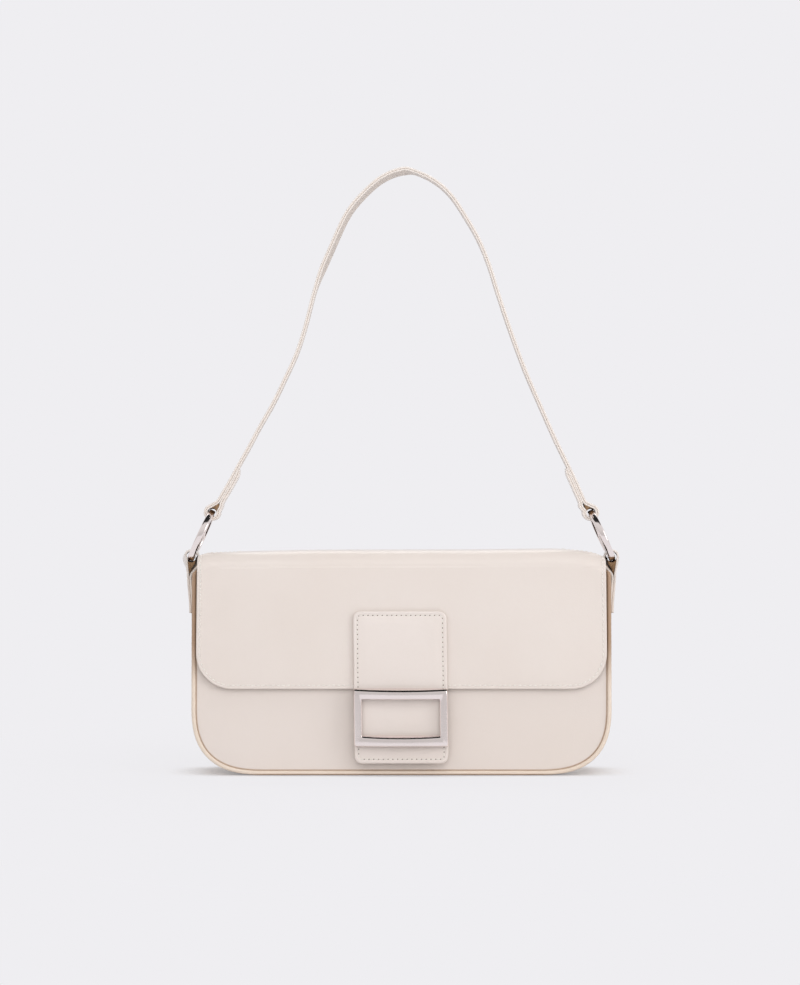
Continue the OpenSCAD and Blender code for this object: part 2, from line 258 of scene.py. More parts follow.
@dataclass(frozen=True)
class Leather(Finish):
    """Smooth finished leather with a fine grain, painted shade along its edges, creases and stitch
    groove, and a painted flap shadow on the piping.
    """

    shade: Colour
    # Colour of the painted shade along edges and creases, also used for the painted flap shadow.
    edge_shade: Colour = (0.42, 0.27, 0.15)
    gloss: float = 0.36
    coat: float = 0.25
    grain: float = 1500.0
    depth: float = 0.00006
    edge_shade_from: float = 0.0
    edge_shade_to: float = 0.35
    edge_shade_depth: float = 0.8
    groove_shade_at: float = 0.0
    flap_shadow_from: float = 0.0
    flap_shadow_to: float = 0.0

    def dress(self, s: Shader) -> None:
        """Fills the shader.

        Args:
            s: the shader; the mesh gives it the distance from the edge.
        """
        edge = s.node("ShaderNodeAttribute", {"attribute_name": "edge"}, {}, "Fac")
        broad, fine = s.noise(14.0, 2.0), s.noise(420.0, 4.0, 0.6)
        pores = s.node("ShaderNodeTexVoronoi", {"feature": "SMOOTH_F1"},
                       {"Vector": s.position(), "Scale": self.grain, "Smoothness": 0.6},
                       "Distance")
        tone = s.mix((broad - 0.5) * 0.9 + 0.5, self.colour, self.shade)
        tone = s.mix((fine - 0.5) * 0.35 + 0.08, tone, self.shade)
        # Painted shadow of the flap: darker above a given height.
        if self.flap_shadow_to:
            tone = s.mix(s.axis(2).step(self.flap_shadow_from, self.flap_shadow_to) * 0.9, tone, self.edge_shade)
        # Painted shade: darker near the edge, where the edge distance also marks creases and seams.
        if self.edge_shade_to:
            fold = 1.0 - edge.step(self.edge_shade_from, self.edge_shade_to)
            tone = s.mix(fold * self.edge_shade_depth, tone, self.edge_shade)
        # Painted shade in the stitch groove.
        if self.groove_shade_at:
            tone = s.mix(edge.bump(self.groove_shade_at, 0.8) * 0.25, tone, self.shade)
        s.set(Base_Color=tone, Roughness=(fine - 0.5) * 0.14 + (broad - 0.5) * 0.1 + self.gloss,
              Coat_Weight=self.coat, Coat_Roughness=0.35, Specular_IOR_Level=0.4)
        s.relief((1.0 - pores) * 0.45 + fine * 0.35 + s.noise(60.0, 2.0) * 0.6, self.depth)


@dataclass(frozen=True)
class HoleShade(Finish):
    """Dark brown painted shade inside needle holes."""

    def dress(self, s: Shader) -> None:
        """Fills the shader.

        Args:
            s: the shader.
        """
        fine = s.noise(900.0, 3.0)
        s.set(Base_Color=s.mix(fine, self.colour, self.darker(0.72)), Roughness=fine * 0.2 + 0.42)
        s.relief(fine, 0.00008)


@dataclass(frozen=True)
class Suede(Finish):
    """Soft napped lining."""

    def dress(self, s: Shader) -> None:
        """Fills the shader.

        Args:
            s: the shader.
        """
        nap, broad = s.noise(700.0, 5.0, 0.7), s.noise(22.0, 3.0)
        s.set(Base_Color=s.mix(broad * 0.6 + nap * 0.4, self.darker(0.62), self.colour),
              Roughness=nap * 0.1 + 0.82, Sheen_Weight=0.35, Sheen_Roughness=0.5)
        s.relief(nap, 0.00015)


@dataclass(frozen=True)
class Metal(Finish):
    """Polished or brushed plate with faint scratches and a little haze."""

    rough: float
    scratch: float

    def dress(self, s: Shader) -> None:
        """Fills the shader.

        Args:
            s: the shader.
        """
        lines = s.noise(1.0, 3.0, 0.6, s.position((260.0, 900.0, 2600.0)))
        haze = s.noise(60.0, 3.0)
        s.set(Base_Color=s.mix(haze * 0.5, self.colour, self.darker(0.86)), Metallic=1.0,
              Roughness=lines * self.scratch + haze * 0.05 + self.rough)
        s.relief(lines, 0.00001)


@dataclass(frozen=True)
class Thread(Finish):
    """Waxed twisted sewing thread."""

    def dress(self, s: Shader) -> None:
        """Fills the shader.

        Args:
            s: the shader.
        """
        twist = s.node("ShaderNodeTexWave", {"wave_type": "BANDS", "bands_direction": "DIAGONAL"},
                       {"Vector": s.position(), "Scale": 900.0, "Distortion": 1.0}, "Fac")
        s.set(Base_Color=s.mix(twist, self.colour, self.darker(0.8)),
              Roughness=twist * 0.15 + 0.5)
        s.relief(twist, 0.00006)


@dataclass(frozen=True)
class Board(Finish):
    """Grey brown stiffening board."""

    def dress(self, s: Shader) -> None:
        """Fills the shader.

        Args:
            s: the shader.
        """
        fibre = s.noise(1.0, 4.0, 0.6, s.position((300.0, 300.0, 60.0)))
        s.set(Base_Color=s.mix(fibre, self.colour, self.darker(0.7)), Roughness=fibre * 0.1 + 0.85)
        s.relief(fibre, 0.0001)


class Finishes:
    """All finishes of the bag, made once."""

    def __init__(self) -> None:
        """Makes every material."""
        warm, brown = (0.705, 0.625, 0.570), (0.36, 0.215, 0.115)
        # Body leather: brown painted shade along its edge where the panel meets the piping.
        self.leather = Leather("body leather", (0.745, 0.675, 0.635), (0.70, 0.625, 0.57),
                               edge_shade=brown, edge_shade_from=1.55, edge_shade_to=2.35).make()
        # Flap and tab leather: painted shade only at the very edge and in the stitch groove.
        self.flap = Leather("flap leather", (0.765, 0.705, 0.665), warm, edge_shade_to=0.12,
                            groove_shade_at=2.3, gloss=0.33, coat=0.4).make()
        self.tab = Leather("tab leather", (0.785, 0.723, 0.688), warm, edge_shade_to=0.12,
                           groove_shade_at=2.7).make()
        # Gusset leather: the body leather darker and warmer as painted shade on the side seen
        # edge-on, with brown painted shade along its edges.
        self.side = Leather("gusset leather in painted shade", (0.72, 0.60, 0.48), (0.62, 0.48, 0.35),
                            edge_shade=brown, edge_shade_to=1.2).make()
        # Piping: painted shade at its joins and underside, and from 52 to 85 mm up a painted shadow
        # of the flap.
        self.piping = Leather("piping leather", (0.78, 0.68, 0.585), (0.72, 0.60, 0.49),
                              edge_shade=(0.36, 0.22, 0.13), edge_shade_to=0.72, edge_shade_depth=0.9,
                              grain=1800.0, flap_shadow_from=0.052, flap_shadow_to=0.085).make()
        # Strap leather: light tan painted shade along its seams and edges.
        self.strap = Leather("strap leather", (0.80, 0.745, 0.70), (0.76, 0.69, 0.64),
                             edge_shade=(0.62, 0.51, 0.42), edge_shade_to=0.3, depth=0.00002).make()
        # Strap underside: the strap leather darker as painted shade.
        self.under = Leather("strap inner leather in painted shade", (0.64, 0.56, 0.49), (0.58, 0.49, 0.42),
                             edge_shade_to=0.0, depth=0.00002).make()
        # Dark brown suede as painted shade: inner faces of the side strips and fillers inside the
        # loops, the eyes and the gap beside the flap.
        self.back = Suede("painted shade brown", (0.34, 0.20, 0.10)).make()
        # Needle holes: near black brown, painted shade inside the holes.
        self.hole = HoleShade("needle hole", (0.13, 0.085, 0.055)).make()
        self.lining = Suede("lining suede", (0.36, 0.25, 0.16)).make()
        self.metal = Metal("polished plate", (0.93, 0.85, 0.83), 0.06, 0.05).make()
        self.snap = Metal("snap plate", (0.62, 0.60, 0.60), 0.28, 0.2).make()
        self.thread = Thread("cream thread", (0.90, 0.86, 0.80)).make()
        self.board = Board("stiffening board", (0.36, 0.28, 0.21)).make()


# Lines and meshes


def smoothstep(t: Array) -> Array:
    """Smooth ramp from 0 at 0 to 1 at 1."""
    t = np.clip(t, 0.0, 1.0)
    return t * t * (3.0 - 2.0 * t)


def lengths(line: Array) -> Array:
    """Distance of each point of a line from its start."""
    return np.concatenate([[0.0], np.cumsum(np.linalg.norm(np.diff(line, axis=0), axis=1))])


def read(at: Array | float, steps: Array, *tables: Array) -> list[Array]:
    """Columns of tables, read at distances between their rows."""
    return [np.interp(at, steps, column) for table in tables for column in table.T]


def resample(line: Array, n: int) -> Array:
    """Spreads points evenly along a line, ends included."""
    steps = lengths(line)
    return np.stack(read(np.linspace(0.0, steps[-1], n), steps, line), axis=1)


def arc(centre: tuple[float, float], r: float, start: float, end: float, n: int = 24) -> Array:
    """Points on a circle between two angles in degrees."""
    a = np.radians(np.linspace(start, end, n))
    return np.stack([centre[0] + r * np.cos(a), centre[1] + r * np.sin(a)], axis=1)


def mirrored(line: Array) -> Array:
    """The other half of a symmetric outline, so that it runs on from the line's end."""
    return (line * (-1, 1))[::-1]


def path_normals(line: Array) -> Array:
    """Unit normals to the left of a line.

    Args:
        line: rows of two coordinates.

    Returns:
        Rows of two coordinates.
    """
    d = np.gradient(line, axis=0)
    d /= np.linalg.norm(d, axis=1)[:, None]
    return np.stack([-d[:, 1], d[:, 0]], axis=1)


def curve_through(points: Array, steps: int) -> Array:
    """Smooth curve through given points.

    Args:
        points: rows of coordinates.
        steps: number of steps between two points.

    Returns:
        The curve's points, ends included.
    """
    out = []
    for i in range(len(points) - 1):
        a, b = points[max(i - 1, 0)], points[i]
        c, d = points[i + 1], points[min(i + 2, len(points) - 1)]
        for t in np.arange(steps) / steps:
            out.append(0.5 * (2 * b + (c - a) * t + (2 * a - 5 * b + 4 * c - d) * t * t
                              + (3 * b - a - 3 * c + d) * t ** 3))
    out.append(points[-1])
    return np.array(out)


def closed_row(sides: Sides, counts: Sequence[int]) -> Array:
    """One closed row of points round four sides, so many on each."""
    return np.concatenate([resample(side, n + 1)[:-1] for side, n in zip(sides, counts)])


def flat_sides(length: float, half: float) -> Sides:
    """Four sides of a flat strip."""
    c = ((0.0, -half), (length, -half), (length, half), (0.0, half))
    return tuple(np.array([c[k], c[(k + 1) % 4]]) for k in range(4))


def round_box_sides(half: float, low: float, top: float, r: float) -> Sides:
    """Four sides of a box with four round corners.

    Args:
        half: half of its width.
        low: height of its lower edge.
        top: height of its upper edge.
        r: radius of the corners.

    Returns:
        Lower, right, upper and left sides, split at the middle of the corners.
    """
    x, z0, z1 = half - r, low + r, top - r
    mids = ((-x, z0), (x, z0), (x, z1), (-x, z1))
    return tuple(np.concatenate([arc(mids[k], r, 225 + 90 * k, 270 + 90 * k, 8),
                                 arc(mids[(k + 1) % 4], r, 270 + 90 * k, 315 + 90 * k, 8)])
                 for k in range(4))


def sack_sides(half: float, low: float, top: float, r: float) -> Sides:
    """Four sides of an outline with round lower corners and a straight top.

    Args:
        half: half of its width.
        low: height of its lower edge.
        top: height of its upper edge.
        r: radius of the lower corners.

    Returns:
        Lower, right, upper and left sides.
    """
    mid = (half - r, low + r)
    right = np.concatenate([arc(mid, r, 315, 360), [[half, top]]])
    near = arc(mid, r, 270, 315)
    return (np.concatenate([mirrored(near), near]), right,
            np.array([[half, top], [-half, top]]), mirrored(right))


@dataclass
class Mesh:
    """Growing mesh with the distances from the edge that its leather reads."""

    name: str
    points: list[Array] = field(default_factory=list)
    edge: list[Array] = field(default_factory=list)
    faces: list[tuple[int, ...]] = field(default_factory=list)
    slots: list[int] = field(default_factory=list)
    count: int = 0

    def add(self, points: Array, edge: Array | float = UNMARKED) -> list[int]:
        """Adds points.

        Args:
            points: rows of x, y and z in millimetres.
            edge: distance of each from its piece's edge in millimetres.

        Returns:
            The numbers of the new points.
        """
        first, n = self.count, len(points)
        self.points.append(np.asarray(points, float))
        self.edge.append(np.broadcast_to(np.asarray(edge, float), (n,)))
        self.count += n
        return list(range(first, self.count))

    def face(self, corners: Sequence[int], slot: int = 0) -> None:
        """Adds one face."""
        self.faces.append(tuple(corners))
        self.slots.append(slot)

    def strip(self, rows: Sequence[Sequence[int]], closed: bool = True, slot: int = 0,
              skip: range = range(0)) -> None:
        """Joins rows of point numbers with four-sided faces.

        Args:
            rows: rows of equal length.
            closed: joins the end of each row to its start.
            slot: material slot of the faces.
            skip: places in the rows that stay open.
        """
        for a, b in zip(rows[:-1], rows[1:]):
            n = len(a)
            for i in range(n if closed else n - 1):
                if i not in skip:
                    j = (i + 1) % n
                    self.face((a[i], a[j], b[j], b[i]), slot)

    def close(self, rows: Sequence[Sequence[int]], slot: int = 0) -> None:
        """Joins closed rows into a solid piece with a face at each end.

        Args:
            rows: rows of point numbers.
            slot: material slot of the faces.
        """
        self.strip(rows, slot=slot)
        self.face(rows[0], slot)
        self.face(rows[-1], slot)

    def build(self, *materials: bpy.types.Material) -> bpy.types.Object:
        """Makes the Blender object, with its faces turned outwards.

        Args:
            materials: one material for each slot.

        Returns:
            The linked object.
        """
        data = bpy.data.meshes.new(self.name)
        data.from_pydata((np.concatenate(self.points) * MM).tolist(), [], self.faces)
        layer = data.attributes.new("edge", "FLOAT", "POINT")
        layer.data.foreach_set("value", np.concatenate(self.edge).astype(np.float32))
        for material in materials:
            data.materials.append(material)
        data.polygons.foreach_set("material_index", self.slots)
        data.polygons.foreach_set("use_smooth", [True] * len(data.polygons))
        data.validate()
        data.update()
        work = bmesh.new()
        work.from_mesh(data)
        loose = [v for v in work.verts if not v.link_faces]
        bmesh.ops.delete(work, geom=loose, context="VERTS")
        bmesh.ops.recalc_face_normals(work, faces=work.faces)
        work.to_mesh(data)
        work.free()
        made = bpy.data.objects.new(self.name, data)
        bpy.context.collection.objects.link(made)
        LOG.info("%s: %d points, %d faces", self.name, self.count, len(self.faces))
        return made


@dataclass
class Patch:
    """Sheet of leather cut to a flat outline, with rounded edges, laid where place says.

    The outline has four sides, in order: lower from left to right, right going up, upper from right
    to left, and left going down. An open upper side has no rim and meets a neighbour there.
    """

    name: str
    sides: Sides
    thick: float
    place: Place
    nx: int = 90
    ny: int = 50
    insets: tuple[float, ...] = (0.0, 0.12, 0.35, 0.7, 1.1, 1.6, 2.3, 3.0, 4.0)
    open_top: bool = False
    relief: Callable[[Array, Array, Array], Array] | None = None

    def inset(self, loop: Array, d: float) -> Array:
        """Moves the outline inwards.

        Args:
            loop: the outline, anticlockwise.
            d: distance in millimetres.

        Returns:
            The moved points, evenly spread on each side.
        """
        before = loop - np.roll(loop, 1, axis=0)
        after = np.roll(loop, -1, axis=0) - loop
        na, nb = (np.stack([-v[:, 1], v[:, 0]], axis=1) / np.linalg.norm(v, axis=1)[:, None]
                  for v in (before, after))
        mid = na + nb
        mid /= np.maximum(np.sum(mid * nb, axis=1), 0.35)[:, None]
        out = loop + mid * d
        ends = np.cumsum([0, self.nx, self.ny, self.nx, self.ny])
        moved, fixed = np.concatenate([out, out[:1]]), np.concatenate([loop, loop[:1]])
        parts = []
        for a, b in zip(ends[:-1], ends[1:]):
            side, guide = moved[a:b + 1], fixed[a:b + 1]
            keep = (side - side[0]) @ (guide[1] - guide[0]) > 1e-9
            keep &= (side[-1] - side) @ (guide[-1] - guide[-2]) > 1e-9
            keep[8:-8] = True
            keep[0] = keep[-1] = True
            parts.append(resample(side[keep], b - a + 1)[:-1])
        out = np.concatenate(parts)
        if self.open_top:
            a, b = ends[2:4]
            t = np.linspace(0.0, 1.0, self.nx + 1)[:, None]
            out[a:b + 1] = (loop[a] + (-d, 0.0)) * (1 - t) + (loop[b] + (d, 0.0)) * t
        return out

    def fill(self, loop: Array) -> Array:
        """Grid of points inside a loop.

        Args:
            loop: the innermost ring.

        Returns:
            Array of ny + 1 rows of nx + 1 points.
        """
        nx, ny = self.nx, self.ny
        low, right = loop[:nx + 1], loop[nx:nx + ny + 1]
        up = loop[nx + ny:2 * nx + ny + 1][::-1]
        left = np.concatenate([loop[2 * nx + ny:], loop[:1]])[::-1]
        u = np.linspace(0, 1, nx + 1)[None, :, None]
        v = np.linspace(0, 1, ny + 1)[:, None, None]
        return ((1 - v) * low[None] + v * up[None] + (1 - u) * left[:, None] + u * right[:, None]
                - ((1 - u) * (1 - v) * low[0] + u * (1 - v) * low[-1] + (1 - u) * v * up[0]
                   + u * v * up[-1]))

    def mesh(self, into: Mesh | None = None) -> Mesh:
        """Builds the sheet.

        Args:
            into: a mesh to add it to.

        Returns:
            The mesh with the sheet in it.
        """
        out = into or Mesh(self.name)
        nx, ny, half = self.nx, self.ny, self.thick / 2
        loop = closed_row(self.sides, (nx, ny, nx, ny))
        rings = [self.inset(loop, d) for d in self.insets]
        flat = self.fill(rings[-1]).reshape(-1, 2)
        far = self.distance(loop, flat)
        skip = range(nx + ny, 2 * nx + ny) if self.open_top else range(0)
        outline: list[int] = []
        for front in (True, False):
            rows = []
            for d, ring in zip(self.insets, rings):
                if d == 0.0 and not front:
                    rows.append(outline)
                    continue
                rise = half + math.sqrt(half ** 2 - (half - min(d, half)) ** 2)
                w = (rise if front else self.thick - rise) + self.extra(ring, d, front)
                rows.append(out.add(self.place(ring[:, 0], ring[:, 1], w),
                                    d if front else UNMARKED))
            outline, last = rows[0], rows[-1]
            out.strip(rows, skip=skip)
            w = (self.thick if front else 0.0) + self.extra(flat, far, front)
            ids = np.array(out.add(self.place(flat[:, 0], flat[:, 1], w), far))
            ids = ids.reshape(ny + 1, nx + 1)
            ids[0, :] = last[:nx + 1]
            ids[:, -1] = last[nx:nx + ny + 1]
            ids[-1, :] = last[nx + ny:2 * nx + ny + 1][::-1]
            ids[:, 0] = [last[0]] + last[2 * nx + ny:][::-1]
            out.strip(ids.tolist(), closed=False)
        return out

    def distance(self, loop: Array, at: Array) -> Array:
        """Distance of points from the outline, an open side left out.

        Args:
            loop: the outline.
            at: flat coordinates.

        Returns:
            Distances in millimetres.
        """
        if self.open_top:
            a, b = self.nx + self.ny, 2 * self.nx + self.ny
            loop = np.concatenate([loop[:a + 1], loop[b:]])
        near = np.full(len(at), np.inf)
        for chunk in np.array_split(loop, max(1, len(loop) // 60)):
            near = np.minimum(near, np.linalg.norm(at[:, None] - chunk[None], axis=2).min(axis=1))
        return np.maximum(near, self.insets[-1])

    def extra(self, at: Array, d: Array | float, front: bool) -> Array:
        """Relief over the plain sheet.

        Args:
            at: flat coordinates.
            d: distance from the edge.
            front: outer face if true.

        Returns:
            Heights in millimetres.
        """
        d = np.broadcast_to(d, len(at))
        lift = self.relief(at[:, 0], at[:, 1], d) if self.relief else np.zeros(len(at))
        return lift if front else lift * smoothstep(d / 3.0)


@dataclass
class Stitches:
    """Row of separate thread stitches with needle holes between them."""

    pitch: float = 3.1
    length: float = 2.2
    radius: float = 0.2
    lean: float = 6.0
    hole: float = 0.36

    def lay(self, out: Mesh, centres: Array, tangents: Array, normals: Array) -> None:
        """Adds one stitch at each centre.

        Args:
            out: the mesh to add to.
            centres: middle of each stitch on the surface.
            tangents: unit direction of the row.
            normals: unit direction out of the leather.
        """
        turn = math.radians(self.lean)
        t = tangents * math.cos(turn) + np.cross(normals, tangents) * math.sin(turn)
        ring = np.radians(np.arange(6) * 60.0 + 30.0)
        stops = ((-0.5, 0.4, -0.45), (-0.43, 0.85, -0.05), (-0.2, 1.0, 0.14), (0.2, 1.0, 0.14),
                 (0.43, 0.85, -0.05), (0.5, 0.4, -0.45))
        for c, tt, nn, ss in zip(centres, t, normals, np.cross(normals, t)):
            rows = []
            for at, fat, rise in stops:
                r = self.radius * fat
                mid = c + tt * (at * self.length) + nn * (rise * self.radius * 1.6)
                rows.append(out.add(mid + np.outer(np.cos(ring) * r, ss)
                                    + np.outer(np.sin(ring) * r * 0.85, nn)))
            out.close(rows)

    def punch(self, out: Mesh, centres: Array, tangents: Array, normals: Array) -> None:
        """Adds a small dimple at each needle hole, dark as painted shade inside the hole.

        Args:
            out: the mesh to add to.
            centres: middle of each hole on the surface.
            tangents: unit direction of the row.
            normals: unit direction out of the leather.
        """
        ring = np.radians(np.arange(8) * 45.0)
        for c, t, n, a in zip(centres, tangents, normals, np.cross(normals, tangents)):
            pts = (c + n * 0.035 + np.outer(np.cos(ring) * self.hole, t)
                   + np.outer(np.sin(ring) * self.hole * 0.9, a))
            *rim, middle = out.add(np.concatenate([pts, [c - n * 0.02]]))
            for a, b in zip(rim, rim[1:] + rim[:1]):
                out.face((a, b, middle), 1)

    def run(self, out: Mesh, path: Array, place: Place, level: Callable[[Array, Array], Array]
            ) -> None:
        """Lays a row along a flat path.

        Args:
            out: the mesh to add to.
            path: flat coordinates of the row; a closed one ends on its start.
            place: maps flat coordinates and height to space.
            level: height of the surface at flat coordinates.
        """
        n = max(2, round(float(lengths(path)[-1]) / self.pitch))
        fine = resample(path, n * 4 + 1)
        for first, lay in ((2, self.lay), (4, self.punch)):
            mid = fine[first:-1:4]
            a, b = fine[first - 1:-1:4][:len(mid)], fine[first + 1::4][:len(mid)]
            w = level(mid[:, 0], mid[:, 1])
            c = place(mid[:, 0], mid[:, 1], w)
            up = place(mid[:, 0], mid[:, 1], w + 1.0) - c
            up /= np.linalg.norm(up, axis=1)[:, None]
            t = place(b[:, 0], b[:, 1], w) - place(a[:, 0], a[:, 1], w)
            t /= np.linalg.norm(t, axis=1)[:, None]
            lay(out, c, t, up)


@dataclass
class Ribbon:
    """Flat strip of leather swept along a path in the XZ plane.

    The section runs across the strip in y and from low to high along the path's outer normal.
    """

    width: float
    low: float
    high: float
    corner: float = 0.45
    seam_low: bool = False
    seam_high: bool = False

    def section(self) -> tuple[Array, Array]:
        """Closed section.

        Returns:
            Rows of across and outward coordinates, and the distance of each from a seam.
        """
        w, r = self.width / 2, self.corner
        pts, marks = [], []
        for sx, sz, a0 in CORNERS:
            face, seam = (self.high, self.seam_high) if sz > 0 else (self.low, self.seam_low)
            for a in np.radians(a0 + 22.5 * np.arange(5)):
                pts.append(np.array([sx * (w - r) + r * math.cos(a),
                                     face - sz * r + r * math.sin(a)]))
                marks.append(abs(pts[-1][1] - face) if seam else UNMARKED)
        dense, distances = [], []
        for a, b, mark in zip(pts, pts[1:] + pts[:1], marks):
            wide = np.linalg.norm(b - a) > 3.0
            stops = (0.0, 0.08, 0.16, 0.24, 0.4, 0.6, 0.76, 0.84, 0.92) if wide else (0.0,)
            dense += [a + (b - a) * t for t in stops]
            distances += [mark] + [UNMARKED] * (len(stops) - 1)
        return np.array(dense), np.array(distances)

    def sweep(self, out: Mesh, path: Array, normals: Array, twist: Array, back_slot: int = 0,
              thin: Array | float = 1.0) -> None:
        """Adds the strip to a mesh.

        Args:
            out: the mesh to add to.
            path: rows of x and z of the seam line.
            normals: unit outer normals in the XZ plane.
            twist: turn of the section about the path at each row, in degrees.
            back_slot: material slot of the inner face.
            thin: factor on the thickness at each row.
        """
        sec, marks = self.section()
        rows = []
        for p, n, turn, slim in zip(path, normals, np.radians(twist),
                                    np.broadcast_to(thin, len(path))):
            c, s = math.cos(turn), math.sin(turn)
            rows.append(out.add(np.array([p[0], 0.0, p[1]])
                                + np.outer(sec[:, 0], (-n[0] * s, c, -n[1] * s))
                                + np.outer(sec[:, 1] * slim, (n[0] * c, s, n[1] * c)), marks))
        out.close(rows)
        inner = sec[:, 1] < self.low + 0.02
        slots = [back_slot if a and b else 0 for a, b in zip(inner, np.roll(inner, -1))]
        out.slots[-2 - len(slots) * (len(rows) - 1):-2] = slots * (len(rows) - 1)


# The bag


@dataclass
class Shape:
    """Main sizes that the pieces share."""

    width: float = 260.0
    top: float = 140.0
    depth: float = 58.0
    lean: float = math.radians(2.6)
    piping: float = 2.8
    panel: float = 1.6
    gusset: float = 1.8
    gusset_top: float = 119.5
    front_top: float = 126.0
    fold_r: float = 10.0
    flap: float = 1.6
    flap_lining: float = 1.0
    flap_gap: float = 1.6
    neck: float = 104.0
    shoulder: float = 24.0
    flap_top_half: float = 126.6
    flap_low_half: float = 127.0
    flap_low: float = 53.5
    flap_corner: float = 22.0

    @property
    def fold_z(self) -> float:
        """Height of the centres of the two folds."""
        return self.top - self.fold_r

    @property
    def reach(self) -> float:
        """Length along a panel from the floor to the height of the folds' feet."""
        return (self.fold_z + self.fold_r * math.sin(self.lean)) / math.cos(self.lean)

    @property
    def back_fold_y(self) -> float:
        """Centre of the back fold."""
        return (self.depth / 2 - self.fold_z * math.tan(self.lean)
                - self.fold_r / math.cos(self.lean))

    @property
    def flap_out(self) -> float:
        """Height of the flap's outer face over the front panel."""
        return self.flap_gap + self.flap + self.flap_lining

    @property
    def front_fold_y(self) -> float:
        """Centre of the front fold."""
        return (self.fold_z * math.tan(self.lean) - self.depth / 2
                + (self.fold_r - self.flap_out) / math.cos(self.lean))

    def front(self, x: Array, h: Array, w: Array) -> Array:
        """Places a point up the leaning front panel and out from its outer face."""
        s, c = math.sin(self.lean), math.cos(self.lean)
        return np.stack([x, -self.depth / 2 + h * s - w * c, h * c + w * s], axis=-1)

    def back(self, x: Array, h: Array, w: Array) -> Array:
        """Places a point on the back panel, with the same arguments as front."""
        return self.front(x, h, w) * (1, -1, 1)


@dataclass
class FlapPath:
    """Path of the flap's outer face from the back panel over the mouth and down the front.

    The distance s is 0 on the back panel at the height of the back fold's centre.
    """

    shape: Shape
    crest: tuple[tuple[float, float], ...] = (
        (-132, 3.9), (-127, 3.2), (-120, 2.5), (-110, 2.2), (-98, 2.05), (-84, 1.75), (-66, 1.3),
        (-40, 1.1), (0, 1.0), (45, 0.95), (75, 0.55), (95, 0.4), (104, 0.65), (111, 1.2),
        (118, 2.3), (124, 3.5), (128, 4.4), (132, 5.0))

    def __post_init__(self) -> None:
        """Works out the lengths of the pieces of the path."""
        self.bend = self.shape.fold_r * (math.pi / 2 + self.shape.lean)
        self.flat = self.shape.back_fold_y - self.shape.front_fold_y
        self.mid = self.bend + self.flat / 2
        self.end = 2 * self.bend + self.flat

    def section(self, at: Array) -> tuple[Array, Array, Array, Array]:
        """Outer face and its normal in the YZ plane.

        Args:
            at: distances s.

        Returns:
            y, z, and the normal's y and z.
        """
        s, at = self.shape, np.asarray(at, float)
        over = self.bend + self.flat
        up = math.pi / 2
        angle = np.select([at < 0, at < self.bend, at < over, at < self.end],
                          [np.full_like(at, s.lean), s.lean + at / s.fold_r,
                           np.full_like(at, up), up + (at - over) / s.fold_r], math.pi - s.lean)
        ny, nz = np.cos(angle), np.sin(angle)
        fold = np.where(at < over, s.back_fold_y - np.maximum(at - self.bend, 0.0), s.front_fold_y)
        below, above = np.maximum(at - self.end, 0.0), np.minimum(at, 0.0)
        y = fold + s.fold_r * ny - (below + above) * math.sin(s.lean)
        z = s.fold_z + s.fold_r * nz - (below - above) * math.cos(s.lean)
        return y, z, ny, nz

    def place(self, x: Array, at: Array, w: Array) -> Array:
        """Places a point at a distance s along the path and out from the outer face."""
        y, z, ny, nz = self.section(at)
        return np.stack([x, y + ny * w, z + nz * w - self.droop(x, z)], axis=-1)

    def droop(self, x: Array, z: Array) -> Array:
        """How far the ends of the crest hang below its middle."""
        at, amount = zip(*self.crest)
        return np.interp(x, at, amount) * smoothstep((z - 112.0) / 26.0)


@dataclass
class Sack:
    """Outline of the body seen from the front: a box with long, soft lower corners."""

    half: float = 130.0
    across: float = 46.0
    up: float = 43.0
    power: float = 2.65

    def line(self, inset: float, low: float, top: float, n: int = 400) -> Array:
        """Open outline from the upper left, along the bottom, to the upper right.

        Args:
            inset: distance in from the body's outside.
            low: height of the uninset bottom.
            top: height of the two ends.
            n: number of points.

        Returns:
            Rows of x and height.
        """
        t = np.linspace(0.0, math.pi / 2, 60)
        left = np.stack([-self.half + self.across * (1 - np.cos(t) ** (2 / self.power)),
                         self.up * (1 - np.sin(t) ** (2 / self.power))], axis=1)
        left = np.concatenate([[[-self.half, top - low + 4.0]], left])
        line = resample(np.concatenate([left, mirrored(left)]), 900)
        line = line + path_normals(line) * inset + (0.0, low)
        line = line[line[:, 1] <= top]
        line[0, 1] = line[-1, 1] = top
        return resample(line, n)

    def sides(self, inset: float, low: float, top: float) -> Sides:
        """Four sides for a patch, split at the middle of the corners.

        Args:
            inset: distance in from the body's outside.
            low: height of the uninset bottom.
            top: height of the upper side.

        Returns:
            Lower, right, upper and left sides.
        """
        line = self.line(inset, low, top)
        slope = np.degrees(np.arctan2(*np.diff(line, axis=0).T[::-1]))
        a = int(np.argmax(slope > -45.0))
        b = len(line) - 1 - a
        return line[a:b + 1], line[b:], np.array([line[-1], line[0]]), line[:a + 1]


